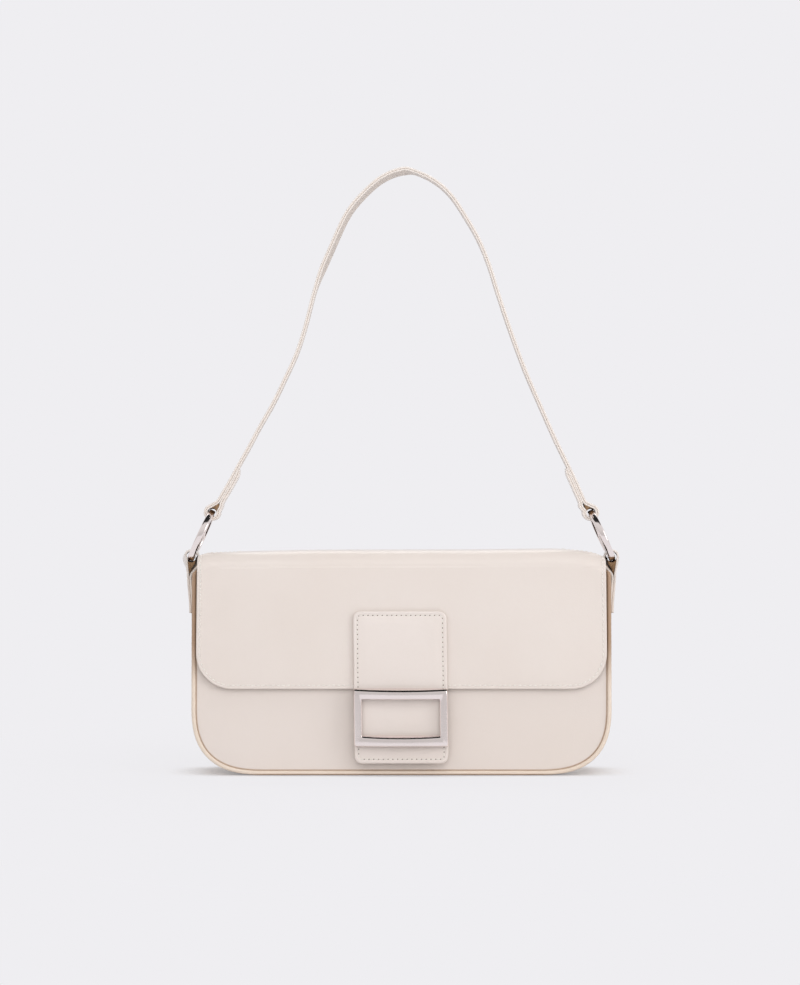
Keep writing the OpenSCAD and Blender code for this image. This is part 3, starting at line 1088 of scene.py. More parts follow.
@dataclass
class BagBody:
    """Body: front panel, gusset, piping, lining and pocket."""

    shape: Shape
    finishes: Finishes
    sack: Sack = field(default_factory=Sack)
    lift: float = 0.3
    inset: float = 1.4

    def belly(self, x: Array, h: Array, d: Array) -> Array:
        """Soft swell of the filled body over its flat pattern.

        Args:
            x: across the panel.
            h: up the panel.
            d: distance from the edge.

        Returns:
            Heights in millimetres.
        """
        u = np.clip(np.abs(x) / 122.0, 0, 1)
        v = np.clip((h - 4.0) / 118.0, 0, 1)
        swell = 0.75 * (1 - u ** 4) * np.sin(np.pi * v) ** 0.8
        snap = np.exp(-((x / 34.0) ** 2 + ((h - 36.0) / 26.0) ** 2))
        sag = 0.22 * np.sin(x / 27.0 + 0.8) * np.sin(h / 19.0)
        return (swell * (1 - 0.85 * snap) + sag * (1 - snap)) * smoothstep(d / 6.0)

    def front(self) -> bpy.types.Object:
        """Front panel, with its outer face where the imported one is."""
        s = self.shape
        made = Patch("body_front", self.sack.sides(self.inset, self.lift, s.front_top),
                     thick=s.panel, place=lambda x, h, w: s.front(x, h, w - s.panel),
                     relief=self.belly, nx=120, ny=60).mesh().build(self.finishes.leather)
        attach(made, Body.BAG.value)
        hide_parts("front_panel")
        return made

    def gusset(self) -> bpy.types.Object:
        """Gusset: one strip of leather pulled in slightly between the pipings."""
        s, half = self.shape, self.shape.depth / 2
        line = self.sack.line(0.0, 0.0, s.gusset_top)
        normal, steps = -path_normals(line), lengths(line)

        def place(u: Array, v: Array, w: Array) -> Array:
            """Bends the flat strip round the body."""
            x, z, nx, nz = read(u, steps, line, normal)
            y = v / half * (half - z * math.tan(s.lean) - s.panel - 0.15)
            pull = 1.3 * (1 - (v / half) ** 2) * smoothstep((z - 6.0) / 30.0)
            flare = 1.2 * smoothstep((z - 88.0) / 30.0) * np.exp(-(y / 9.0) ** 2)
            out = w - s.gusset - pull + flare
            return np.stack([x + nx * out, y, z + nz * out], axis=-1)

        made = Patch("body_gusset", flat_sides(steps[-1], half), thick=s.gusset, place=place,
                     nx=240, ny=16, insets=(0.0, 0.2, 0.5, 0.9, 1.6, 3.0)
                     ).mesh().build(self.finishes.side)
        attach(made, Body.BAG.value)
        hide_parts("gusset")
        return made

    def piping(self, front: bool) -> bpy.types.Object:
        """Covered cord along the edge of a panel.

        Args:
            front: front panel if true, else the back one.

        Returns:
            The object.
        """
        s, r = self.shape, self.shape.piping / 2
        top = s.front_top - 3.0 if front else 102.0
        line = self.sack.line(r, self.lift, top, 420)
        ends = np.array([[line[0, 0] + 1.2, top + 3.4], [line[0, 0] + 0.1, top + 1.5]])
        line = np.concatenate([ends, line, mirrored(ends)])
        place = s.front if front else s.back
        out = Mesh("piping_front" if front else "piping_back")
        # Painted shade on the piping: the edge distance is small where it meets the panel and the
        # gusset, and along its underside, so the leather darkens there.
        ring = np.radians(np.arange(20) * 18.0)
        over, under = (np.abs(np.angle(np.exp(1j * (ring - math.radians(a))))) for a in (14, 198))
        edge_shade, under = r * np.minimum(over, under + 0.12), r * under
        rows = []
        for p, n, at in zip(line, path_normals(line), lengths(line)):
            size = r * (1 + 0.025 * math.sin(at * 1.7) + 0.02 * math.sin(at * 0.31))
            if p[1] > top + 3.0:
                size *= 0.45
            off, w = np.cos(ring) * size, np.sin(ring) * size + 0.1
            # Painted contact shade along the underside of the straight bottom.
            floor = smoothstep((n[1] - 0.85) / 0.13) * smoothstep((110.0 - abs(p[0])) / 26.0)
            mark = np.minimum(edge_shade, np.maximum(under - 1.5 * floor, 0.0))
            rows.append(out.add(place(p[0] + n[0] * off, p[1] + n[1] * off, w), mark))
        out.close(rows)
        made = out.build(self.finishes.piping)
        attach(made, Body.BAG.value)
        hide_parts("front_piping" if front else "back_piping")
        return made

    def lining(self) -> bpy.types.Object:
        """Lining: two faces and the strip between them."""
        s, deep = self.shape, self.shape.depth / 2
        thick, gap, top = 0.8, 2.6, 118.5
        insets = (0.0, 0.15, 0.4, 0.9)
        out = Mesh("lining_body")
        for put in (s.front, s.back):
            Patch("face", self.sack.sides(2.0, 1.4, top), thick=thick, nx=60, ny=30,
                  place=lambda x, h, w, put=put: put(x, h, -gap - w), insets=insets).mesh(out)
        line = self.sack.line(s.gusset, 1.6, top, 300)
        normal, steps = path_normals(line), lengths(line)

        def wrap(u: Array, v: Array, w: Array) -> Array:
            """Bends the strip round inside the gusset."""
            x, z, nx, nz = read(u, steps, line, normal)
            y = v / deep * (deep - z * math.tan(s.lean) - gap - thick)
            out = w + 1.35 * (1 - (v / deep) ** 2) * smoothstep((z - 12.0) / 30.0)
            return np.stack([x + nx * out, y, z + nz * out], axis=-1)

        Patch("strip", flat_sides(steps[-1], deep), thick=thick, place=wrap, nx=120, ny=12,
              insets=insets).mesh(out)
        made = out.build(self.finishes.lining)
        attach(made, Body.BAG.value)
        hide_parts("bag_lining")
        return made

    def pocket(self) -> bpy.types.Object:
        """Slip pocket that stands a little off the back of the lining."""

        def place(x: Array, h: Array, w: Array) -> Array:
            """Bellies the patch out from the lining."""
            u = np.clip(np.abs(x) / 75.0, 0, 1)
            v = np.clip((h - 36.0) / 70.0, 0, 1)
            return self.shape.back(x, h, -3.45 - 5.6 * (1 - u ** 6) * smoothstep(v * 5.0) - w)

        made = Patch("pocket_patch", sack_sides(75.0, 36.0, 106.0, 10.0), thick=0.9,
                     place=place, nx=60, ny=30, insets=(0.0, 0.15, 0.4, 0.9, 1.8, 2.8)
                     ).mesh().build(self.finishes.lining)
        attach(made, Body.BAG.value)
        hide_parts("inner_pocket")
        return made

    def build(self) -> list[bpy.types.Object]:
        """Builds every piece of the body."""
        return [self.front(), self.gusset(), self.piping(True), self.piping(False),
                self.lining(), self.pocket()]


@dataclass
class Flap:
    """Back panel and flap: one sheet of leather with two soft folds, lined inside."""

    shape: Shape
    finishes: Finishes
    stitch_in: float = 2.3

    def __post_init__(self) -> None:
        """Keeps the path of the sheet."""
        self.path = FlapPath(self.shape)

    def half(self, at: Array) -> Array:
        """Half width of the flap along its path.

        Args:
            at: distances s.

        Returns:
            Half widths in millimetres.
        """
        s, p = self.shape, self.path
        flare = smoothstep((s.front_fold_y + 11.3 - p.section(at)[0]) / 18.0)
        down = np.clip((at - p.end) / (s.fold_z - 83.5), 0, 1)
        return np.where(at < p.end, s.neck + (s.flap_top_half - s.neck) * flare,
                        s.flap_top_half + (s.flap_low_half - s.flap_top_half) * down)

    def rear_outline(self) -> Sides:
        """Outline of the back panel with its neck, up to the middle of the flap's top.

        Returns:
            Lower, right, upper and left sides; heights are distances s.
        """
        s, low = self.shape, 1.7 - self.shape.reach
        shoulder = low + 100.7
        lower, rising, _, _ = Sack().sides(1.4, low - 1.4, shoulder)
        neck = np.linspace(shoulder + 27.0, self.path.mid, 60)
        curve = arc((s.width / 2 - 1.4 - s.shoulder, shoulder), s.shoulder, 0, 78, 24)
        fillet = curve_through(np.array([curve[-1], [s.neck + 1.2, shoulder + 24.2],
                                         [s.neck, shoulder + 27.0]]), 6)
        right = np.concatenate([rising, curve[1:], fillet[1:],
                                np.stack([self.half(neck), neck], axis=1)[1:]])
        left = mirrored(right)
        return lower, right, np.array([right[-1], left[0]]), left

    def front_outline(self, inset: float = 0.0) -> Sides:
        """Outline of the flap from the middle of its top to its lower edge, upside down.

        Args:
            inset: distance in from the flap's own edge.

        Returns:
            Lower, right, upper and left sides; heights are minus the distances s.
        """
        s, p = self.shape, self.path
        reach = p.end + s.reach - s.flap_low
        lower, corner, _, _ = sack_sides(s.flap_low_half - inset, inset - reach, 0.0,
                                         s.flap_corner - inset)
        at = np.linspace(reach - s.flap_corner, p.mid, 90)
        right = np.concatenate([corner[:-1], np.stack([self.half(at) - inset, -at], axis=1)[1:]])
        left = mirrored(right)
        return lower, right, np.array([right[-1], left[0]]), left

    def swell(self, x: Array, at: Array, d: Array) -> Array:
        """Soft unevenness of the sheet and its sewn groove.

        Args:
            x: across the bag.
            at: distance s.
            d: distance from the edge.

        Returns:
            Heights in millimetres.
        """
        soft = 0.28 * np.sin(x / 33.0 + at / 29.0) + 0.2 * np.sin(x / 21.0 - at / 41.0 + 1.0)
        calm = smoothstep((np.abs(at - self.path.mid) - 14.0) / 30.0)
        tab = 1 - 0.8 * np.exp(-(x / 36.0) ** 6)
        groove = 0.1 * np.exp(-((d - self.stitch_in) / 0.8) ** 2)
        return soft * calm * tab * smoothstep(d / 7.0) * 0.8 - groove

    def leather(self, name: str, sides: Sides, sign: int, ny: int) -> bpy.types.Object:
        """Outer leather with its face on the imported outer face.

        Args:
            name: the piece's name.
            sides: its outline.
            sign: -1 if the outline's heights are minus the distances s.
            ny: number of rows.

        Returns:
            The object.
        """
        thick = self.shape.flap
        return Patch(name, sides, thick=thick, nx=110, ny=ny, open_top=True,
                     place=lambda x, at, w: self.path.place(x, sign * at, w - thick),
                     relief=lambda x, at, d: self.swell(x, sign * at, d)
                     ).mesh().build(self.finishes.flap)

    def lining(self, name: str, sides: Sides, sign: int, nx: int, ny: int) -> bpy.types.Object:
        """Lining on the inner face, with the arguments of leather."""
        s = self.shape
        return Patch(name, sides, thick=s.flap_lining, nx=nx, ny=ny, open_top=True,
                     place=lambda x, at, w: self.path.place(x, sign * at, -s.flap - w),
                     insets=(0.0, 0.15, 0.4, 0.9)).mesh().build(self.finishes.lining)

    def rear(self) -> list[bpy.types.Object]:
        """Back panel that runs on over the back fold, its lining and its thread.

        Returns:
            The objects.
        """
        p, neck = self.path, self.shape.neck
        leather = self.leather("back_and_flap_top", self.rear_outline(), 1, 130)
        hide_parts("back_panel", "flap_top")
        at = np.linspace(2.0, p.mid, 40)
        right = np.stack([self.half(at) - 1.0, at], axis=1)
        left = mirrored(right)
        lining = self.lining("flap_lining_top", (np.array([left[-1], right[0]]), right,
                                                 np.array([right[-1], left[0]]), left), 1, 80, 30)
        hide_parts("flap_top_lining")
        out, sew = Mesh("stitches_flap_top"), Stitches(radius=0.4, hole=0.5)
        at = np.linspace(p.mid - 1.5, -14.0, 60)
        half = self.half(np.maximum(at, 0.0)) - self.stitch_in
        for sign in (-1, 1):
            sew.run(out, np.stack([half * sign, at], axis=1), p.place,
                    lambda x, at: self.swell(x, at, self.stitch_in) - 0.05)
        across = np.stack([np.linspace(-neck + 2.3, neck - 2.3, 90), np.full(90, -14.0)], axis=1)
        sew.run(out, across, p.place, lambda x, at: self.swell(x, at, UNMARKED))
        thread = out.build(self.finishes.thread, self.finishes.hole)
        for made in (leather, lining, thread):
            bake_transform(made)
        return [leather, lining, thread]

    def front(self) -> list[bpy.types.Object]:
        """Front of the flap from the middle of its top, its lining and its thread.

        Returns:
            The objects.
        """
        leather = self.leather("flap_face", self.front_outline(), -1, 120)
        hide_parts("flap_front")
        lining = self.lining("flap_lining_face", self.front_outline(1.0), -1, 90, 100)
        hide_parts("flap_front_lining")
        low, right, _, left = self.front_outline(self.stitch_in)
        out = Mesh("stitches_flap_face")
        Stitches(radius=0.4, hole=0.5).run(
            out, np.concatenate([left, low[1:], right[1:]])[1:-1],
            lambda x, at, w: self.path.place(x, -at, w),
            lambda x, at: self.swell(x, -at, self.stitch_in) - 0.05)
        thread = out.build(self.finishes.thread, self.finishes.hole)
        for made in (leather, lining, thread):
            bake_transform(made)
        return [leather, lining, thread]

    def build(self) -> list[bpy.types.Object]:
        """Builds every piece of the flap."""
        return [*self.rear(), *self.front()]


@dataclass
class Closure:
    """Closure tab with its thread and its bowed metal frame."""

    shape: Shape
    finishes: Finishes
    half: float = 29.0
    top: float = 101.5
    low: float = 7.5
    corner: float = 4.6
    skew: float = 1.1
    leather: float = 1.5
    backing: float = 1.1
    frame_low: float = 18.2
    frame_high: float = 54.0
    side_bar: float = 5.1
    high_bar: float = 6.9
    low_bar: float = 7.0
    thick: float = 4.6
    rounding: float = 1.5
    bow: float = 150.0
    sag: float = 0.8
    stitch_in: float = 2.7

    @property
    def face(self) -> float:
        """Height of the tab's outer face over the front panel."""
        return self.shape.flap_out + self.backing + self.leather

    def place(self, x: Array, h: Array, w: Array) -> Array:
        """Places a point on the slightly crooked tab, with the arguments of the front panel."""
        crooked = x - self.skew * (h - self.low) / (self.top - self.low)
        return self.shape.front(crooked, h, w)

    def sides(self, d: float, corner: float) -> Sides:
        """Outline of the tab, moved in by a distance."""
        return round_box_sides(self.half - d, self.low + d, self.top - d, corner)

    def cushion(self, x: Array, h: Array, d: Array) -> Array:
        """Rolled edge, sewn groove and soft middle of the tab.

        Args:
            x: across the tab.
            h: up the tab; not used.
            d: distance from its edge.

        Returns:
            Heights in millimetres.
        """
        groove = -0.2 * np.exp(-((d - self.stitch_in) / 0.7) ** 2)
        roll = 0.12 * np.exp(-((d - 1.3) / 0.7) ** 2)
        return groove + roll + 0.25 * smoothstep((d - 3.5) / 5.0) + 0.0 * x

    def tab(self) -> list[bpy.types.Object]:
        """Tab leather, its backing and its thread.

        Returns:
            The objects.
        """
        d, under = self.stitch_in, self.shape.flap_out
        leather = Patch("tab_leather", self.sides(0.0, self.corner), thick=self.leather,
                        place=lambda x, h, w: self.place(x, h, w + self.face - self.leather),
                        nx=44, ny=70, relief=self.cushion,
                        insets=(0.0, 0.1, 0.3, 0.6, 1.0, 1.5, 2.0, 2.4, 2.7, 3.1, 3.7)
                        ).mesh().build(self.finishes.tab)
        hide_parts("closure_tab")
        backing = Patch("tab_back_leather", self.sides(0.5, self.corner), thick=self.backing,
                        place=lambda x, h, w: self.place(x, h, w + under), nx=30, ny=40,
                        insets=(0.0, 0.12, 0.35, 0.7, 1.4, 2.4)).mesh().build(self.finishes.strap)
        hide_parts("tab_backing")
        row = np.concatenate([side[:-1] for side in self.sides(d, self.corner - d)])
        out = Mesh("stitches_tab")
        Stitches(pitch=2.95, radius=0.3, lean=8.0).run(
            out, np.concatenate([row, row[:1]]), self.place,
            lambda x, h: self.face + self.cushion(x, h, d) + 0.02)
        thread = out.build(self.finishes.thread, self.finishes.hole)
        for made in (leather, backing, thread):
            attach(made, Body.FLAP_FRONT.value)
        return [leather, backing, thread]

    def frame(self) -> bpy.types.Object:
        """Bowed frame; the upper edge of each cross bar has a slope, a bevel and a rounding.

        Returns:
            The object.
        """
        rise = math.sqrt(self.bow ** 2 - self.half ** 2)
        low, high = self.frame_low, self.frame_high
        steps = [(0.25, 0.0, 0.0), (0.05, 0.0, 0.12), (0.0, 0.0, 0.4), (0.0, 0.0, 1.1)]
        steps += [(u, part, self.thick - w) for u, part, w in (
            (0.02, 0.02, 3.35), (0.09, 0.16, 3.0), (0.27, 0.54, 2.2), (0.45, 0.92, 1.4),
            (0.5, 1.0, 1.24), (0.6, 1.0, 1.12), (1.43, 1.0, 0.32), (1.58, 1.0, 0.2),
            (1.75, 1.0, 0.1), (1.95, 1.0, 0.03), (2.15, 1.0, 0.0))]

        def bevel(u: float, w: float) -> float:
            """Share of the rounding of the other edges at one depth."""
            sine = max(0.0, 1 - (self.thick - w) / self.rounding)
            return u if w < 1 else 1 - math.sqrt(1 - sine ** 2)

        def ring(half: float, z0: float, z1: float, r: float, part: float, upper: bool
                 ) -> Array:
            """Closed row round a box, with the middle of one upper edge lowered."""
            row = closed_row(round_box_sides(half, z0, z1, r), (64, 28, 64, 28))
            side = (row[:, 1] > (low + high) / 2) == upper
            row[:, 1] -= side * self.sag * part * (1 - np.minimum(1, (row[:, 0] / half) ** 2))
            return row

        rows = []
        for u, part, w in steps:
            d = bevel(u, w)
            rows.append((ring(self.half - d * 0.9, low + d * 1.4, high - u, 0.8, part, True), w))
        for u, part, w in reversed(steps):
            d = bevel(u, w)
            rows.append((ring(self.half - self.side_bar + d * 1.1, low + self.low_bar - u,
                              high - self.high_bar + d * 0.4, 0.35 + d * 0.3, part, False), w))
        out = Mesh("frame_metal")
        ids = []
        for row, w in rows:
            bowed = np.sqrt((self.bow + w) ** 2 - row[:, 0] ** 2) - rise
            ids.append(out.add(self.place(row[:, 0], row[:, 1], bowed + self.face)))
        out.strip([*ids, ids[0]])
        made = out.build(self.finishes.metal)
        made.modifiers.new("edges", "EDGE_SPLIT").split_angle = math.radians(35)
        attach(made, Body.FLAP_FRONT.value)
        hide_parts("buckle_frame")
        return made

    def build(self) -> list[bpy.types.Object]:
        """Builds the closure."""
        return [*self.tab(), self.frame()]


@dataclass
class Carrying:
    """Rings, side strips and strap."""

    shape: Shape
    finishes: Finishes
    width: float = 14.0
    outer: float = 1.3
    inner: float = 1.1
    loop: float = 1.4
    loop_width: float = 12.0
    ring_out: float = 34.5
    ring_wide: float = 4.0
    ring_rim: float = 3.6
    ring_lean: float = math.radians(24.5)
    foot: tuple[float, float] = (131.8, 134.0)
    hole: float = 2.85
    route: tuple[tuple[float, float], ...] = (
        (-113.5, 0), (-108.5, 8.5), (-102.5, 19.5), (-96, 31), (-88.5, 45), (-80.5, 59),
        (-72.5, 75.5), (-65.5, 91), (-60, 108), (-53, 134), (-43.5, 157), (-33, 179),
        (-20, 194), (-9, 202), (3, 205.5), (14, 202.5), (24, 196.5), (32, 188.5),
        (40, 176.5), (48, 162.5), (54.5, 147), (60, 129.5), (68, 105.5), (77, 81),
        (86, 60), (95.5, 38.5), (101.5, 26), (107.5, 13.5), (113.5, 0))

    def __post_init__(self) -> None:
        """Works out the places of the rings and the strap's line."""
        self.radius = (self.ring_out - self.ring_rim) / 2
        self.up = np.array([-math.sin(self.ring_lean), math.cos(self.ring_lean)])
        self.centre = np.array(self.foot) + self.up * self.radius
        head = self.centre + self.up * self.radius + (-5.5, 9.0)
        pts = np.array(self.route)
        arch = curve_through(pts * (head[0] / pts[-1, 0], 1.0) + (0.0, head[1]), 9)
        left, right = self.end(arch, Side.LEFT), self.end(arch[::-1], Side.RIGHT)
        self.line = np.concatenate([left[::-1], arch[1:-1], right])
        self.normals = path_normals(self.line)
        self.steps = lengths(self.line)
        self.first, self.last = self.steps[len(left)], self.steps[-len(right)]
        x = self.line[:, 0]
        self.twist = 8.0 * smoothstep((x + 55.0) / 7.0) * (1 - smoothstep((x - 2.0) / 7.0))

    def eye(self, arch: Array, side: Side) -> tuple[Array, Array, Array]:
        """Eye at one end of the strap.

        Args:
            arch: points of the strap from this end on.
            side: side of the bag.

        Returns:
            Middle of the eye, direction down along the strap and direction out of its face.
        """
        down = (arch[0] - arch[2]) / np.linalg.norm(arch[0] - arch[2])
        middle = (self.centre + self.up * self.radius + (-0.5, 0.3)) * (side.value, 1)
        return middle, down, np.array([-down[1], down[0]]) * side.value

    def end(self, arch: Array, side: Side) -> Array:
        """Seam line from the foot of the arch round the ring and back as a tail.

        Args:
            arch: points of the strap from this end on.
            side: side of the bag.

        Returns:
            Rows of x and z.
        """
        eye, down, out = self.eye(arch, side)
        near = float(np.dot(arch[0] - eye, out))
        far, r = near - 2 * self.inner, self.hole + self.inner
        local = [(float(np.dot(arch[0] - eye, down)), near), (-7.9, near + 0.1),
                 (-6.1, near + 0.85)]
        local += [(r * math.sin(t), r * math.cos(t)) for t in np.radians(np.arange(-38, 219, 16))]
        local += [(-6.1, far - 0.85), (-7.9, far - 0.1)]
        pts = [eye + down * a + out * b for a, b in local]
        away = path_normals(arch) * -side.value
        for at, gap in ((1.5, 2.2), (6.0, 2.2), (11.0, 2.2), (16.0, 2.2), (18.5, 2.0), (21.5, 1.5)):
            x, z, nx, nz = read(at, lengths(arch), arch, away)
            pts.append(np.array([x - nx * gap, z - nz * gap]))
        return curve_through(np.array(pts), 3)

    def ring(self, side: Side) -> bpy.types.Object:
        """Polished ring with rounded edges.

        Args:
            side: side of the bag.

        Returns:
            The object.
        """
        half_w, half_r, r = self.ring_wide / 2, self.ring_rim / 2, 1.05
        prof = [(sx * (half_r - r) + r * math.cos(a), sy * (half_w - r) + r * math.sin(a))
                for sx, sy, a0 in CORNERS for a in np.radians(a0 + 18 * np.arange(6))]
        axis = np.array([side.value * math.cos(self.ring_lean), 0, math.sin(self.ring_lean)])
        up = np.array([side.value * self.up[0], 0, self.up[1]])
        mid = np.array([side.value * self.centre[0], 0, self.centre[1]])
        out = Mesh("ring_right" if side is Side.RIGHT else "ring_left")
        rows = []
        for a in np.radians(3 * np.arange(120)):
            d = up * math.cos(a) + np.array([0, math.sin(a), 0])
            rows.append(out.add([mid + d * (self.radius + p) + axis * q for p, q in prof]))
        out.strip([*rows, rows[0]])
        made = out.build(self.finishes.metal)
        body = Body.RIGHT_RING if side is Side.RIGHT else Body.LEFT_RING
        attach(made, body.value)
        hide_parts(body.value)
        return made

    def strip(self, side: Side) -> bpy.types.Object:
        """Side strip: sewn to the gusset, up round the ring and down again.

        Args:
            side: side of the bag.

        Returns:
            The object.
        """
        foot = np.array(self.foot)
        eye, r = foot + self.up * 0.5, 3.5 + self.loop / 2
        in_x = self.shape.width / 2 + 1.2 + self.loop / 2
        out_x = in_x + self.loop
        bend = arc(tuple(eye), r, -20, 196, 26)
        leg = [[out_x - 1.2, 99.5], [out_x - 0.9, 107.0], [out_x, 117.0], [out_x + 0.3, 121.5],
               [out_x + 0.5, 124.8], [eye[0] + r - 0.4, eye[1] - 3.4]]
        back = [[eye[0] - r + 0.9, eye[1] - 4.2], [in_x - 0.3, 125.8], [in_x + 0.2, 122.5],
                [in_x, 117.0], [in_x - 0.9, 107.0], [in_x - 1.2, 99.5]]
        pts = np.concatenate([curve_through(np.array([*leg, bend[0]]), 5)[:-1], bend,
                              curve_through(np.array([bend[-1], *back]), 5)[1:]])
        pts = pts * (side.value, 1)
        turn = np.linspace(0, 1, len(pts))
        outside = smoothstep((turn - 0.22) / 0.1) * (1 - smoothstep((turn - 0.36) / 0.08))
        inside = smoothstep((turn - 0.58) / 0.08) * (1 - smoothstep((turn - 0.74) / 0.1))
        lean = 15.0 * inside - (13.0 if side is Side.LEFT else 6.0) * outside
        name = "right" if side is Side.RIGHT else "left"
        out = Mesh(f"side_strip_{name}")
        # The strip's inner face takes the dark brown suede: painted shade inside the loop.
        Ribbon(self.loop_width, -self.loop / 2, self.loop / 2, seam_low=True).sweep(
            out, pts, path_normals(pts) * -side.value, lean, back_slot=1)
        # Dark brown fillers inside the loop and in the gap beside the flap: painted shade where the
        # real bag only shows shadow.
        legs = [(129.3, 130.4), (131.2, 127.6), (132.9, 123.5), (134.2, 123.5), (134.8, 127.5),
                (134.7, 130.9)]
        loop_shade_fillers = [[*arc(tuple(foot + self.up * drop), size, start, -180 - start, 12), *legs]
                for drop, size, start in ((0.0, 2.9, -25), (0.5, 2.7, 0))]
        # Outline of the dark filler beside the flap, painted shade in that gap.
        fold = [(127.3, 119.6), (131.0, 119.6), (130.9, 125.0), (127.9, 129.4), (127.3, 131.0)]
        for flat, y0, y1 in ((loop_shade_fillers[0], -5.4, 4.4), (loop_shade_fillers[1], 4.0, 5.5), (fold, -5.4, 5.4)):
            out.close([out.add([(side.value * a, y, b) for a, b in flat]) for y in (y0, y1)], 1)
        made = out.build(self.finishes.strap, self.finishes.back)
        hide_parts(f"{name}_side_tab", f"{name}_side_loop")
        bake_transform(made)
        return made

    def shade_wedge(self, out: Mesh, arch: Array, side: Side) -> None:
        """Adds a dark brown filler inside an eye, between the ring and the seam, as painted shade.

        Args:
            out: the mesh to add to.
            arch: points of the strap from this end on.
            side: side of the bag.
        """
        eye, down, across = self.eye(arch, side)
        r = self.hole
        seam = [(-4.0, 1.75), (-5.6, 0.9), (-6.6, 0.15), (-6.6, -1.9), (-5.6, -2.0), (-4.0, -2.1)]

        def bow(drop: float, radius: float, start: float, end: float) -> list[tuple[float, float]]:
            """Part of a circle round the ring's rim."""
            return [(drop + radius * math.sin(t), radius * math.cos(t))
                    for t in np.radians(np.linspace(start, end, 10))]

        wall = [*bow(0.65, 2.7, -150, -30), *bow(0, r, -8, -38), *seam, *bow(0, r, -142, -172)]
        for flat, y0, y1 in (([*bow(0, r * 0.97, -150, -30), *seam], -6.4, 5.0),
                             (wall, 4.6, 6.5)):
            pts = [eye + down * a + across * b for a, b in flat]
            out.close([out.add([(x, y, z) for x, z in pts]) for y in (y0, y1)], 2)

    def strap(self) -> list[bpy.types.Object]:
        """Strap and its inner leather, both led round the rings and back as tails.

        Returns:
            The objects.
        """
        near = np.minimum(self.steps, self.steps[-1] - self.steps)
        thin = 0.45 + 0.55 * smoothstep(near / 3.5)
        out = Mesh("strap_outer")
        Ribbon(self.width, 0.0, self.outer, corner=0.42, seam_low=True).sweep(
            out, self.line, self.normals, self.twist, thin=thin)
        outer = out.build(self.finishes.strap)
        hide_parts("strap", "left_strap_end", "right_strap_end")
        out = Mesh("strap_inner")
        Ribbon(self.width - 0.1, -self.inner, 0.0, corner=0.38, seam_high=True).sweep(
            out, self.line, self.normals, self.twist, back_slot=1, thin=thin)
        arch = self.line[(self.steps >= self.first) & (self.steps <= self.last)]
        for side in Side:
            self.shade_wedge(out, arch[::-side.value], side)
        # Slot 1, the underside, is the darker strap leather as painted shade; slot 2 holds the dark
        # brown fillers in the eyes, painted shade.
        inner = out.build(self.finishes.strap, self.finishes.under, self.finishes.back)
        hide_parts("strap_lining")
        for piece in (outer, inner):
            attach(piece, Body.STRAP.value)
        return [outer, inner]

    def stitches(self) -> list[bpy.types.Object]:
        """Thread along both edges of the strap and round the side strips.

        Returns:
            The objects.
        """
        twist = np.stack([np.radians(self.twist)], axis=1)

        def place(x: Array, at: Array, w: Array) -> Array:
            """Lays a point across the strap at a distance along it."""
            px, pz, nx, nz, turn = read(at, self.steps, self.line, self.normals, twist)
            c, s = np.cos(turn), np.sin(turn)
            return np.stack([px + nx * (c * w - s * x), x * c + s * w,
                             pz + nz * (c * w - s * x)], axis=-1)

        out = Mesh("stitches_strap")
        for y in (2.0 - self.width / 2, self.width / 2 - 2.0):
            row = np.stack([np.full(300, y), np.linspace(self.first, self.last, 300)], axis=1)
            Stitches(pitch=2.8, length=2.05, hole=0.26).run(
                out, row, place, lambda x, at: np.full(len(x), self.outer - 0.16))
        strap = out.build(self.finishes.thread, self.finishes.hole)
        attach(strap, Body.STRAP.value)
        out_x = self.shape.width / 2 + 1.2 + 2 * self.loop
        row = np.concatenate([p[:-1] for p in round_box_sides(3.7, 101.5, 115.0, 0.8)])
        row = np.concatenate([row, row[:1]])
        out = Mesh("stitches_side_strips")
        for side in Side:
            def lay(y: Array, z: Array, w: Array, sign: int = side.value) -> Array:
                """Lays a point on the outside of a side strip."""
                x = np.interp(z, (99.5, 107.0, 117.0), (out_x - 1.2, out_x - 0.9, out_x))
                return np.stack([sign * (x + w), y * sign, z], axis=-1)

            Stitches(pitch=2.4, length=1.75, hole=0.25).run(
                out, row, lay, lambda y, z: np.full(len(y), -0.1))
        strips = out.build(self.finishes.thread, self.finishes.hole)
        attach(strips, Body.BAG.value)
        return [strap, strips]

    def build(self) -> list[bpy.types.Object]:
        """Builds the rings, strips and strap."""
        made = [self.ring(side) for side in Side] + [self.strip(side) for side in Side]
        return made + self.strap() + self.stitches()


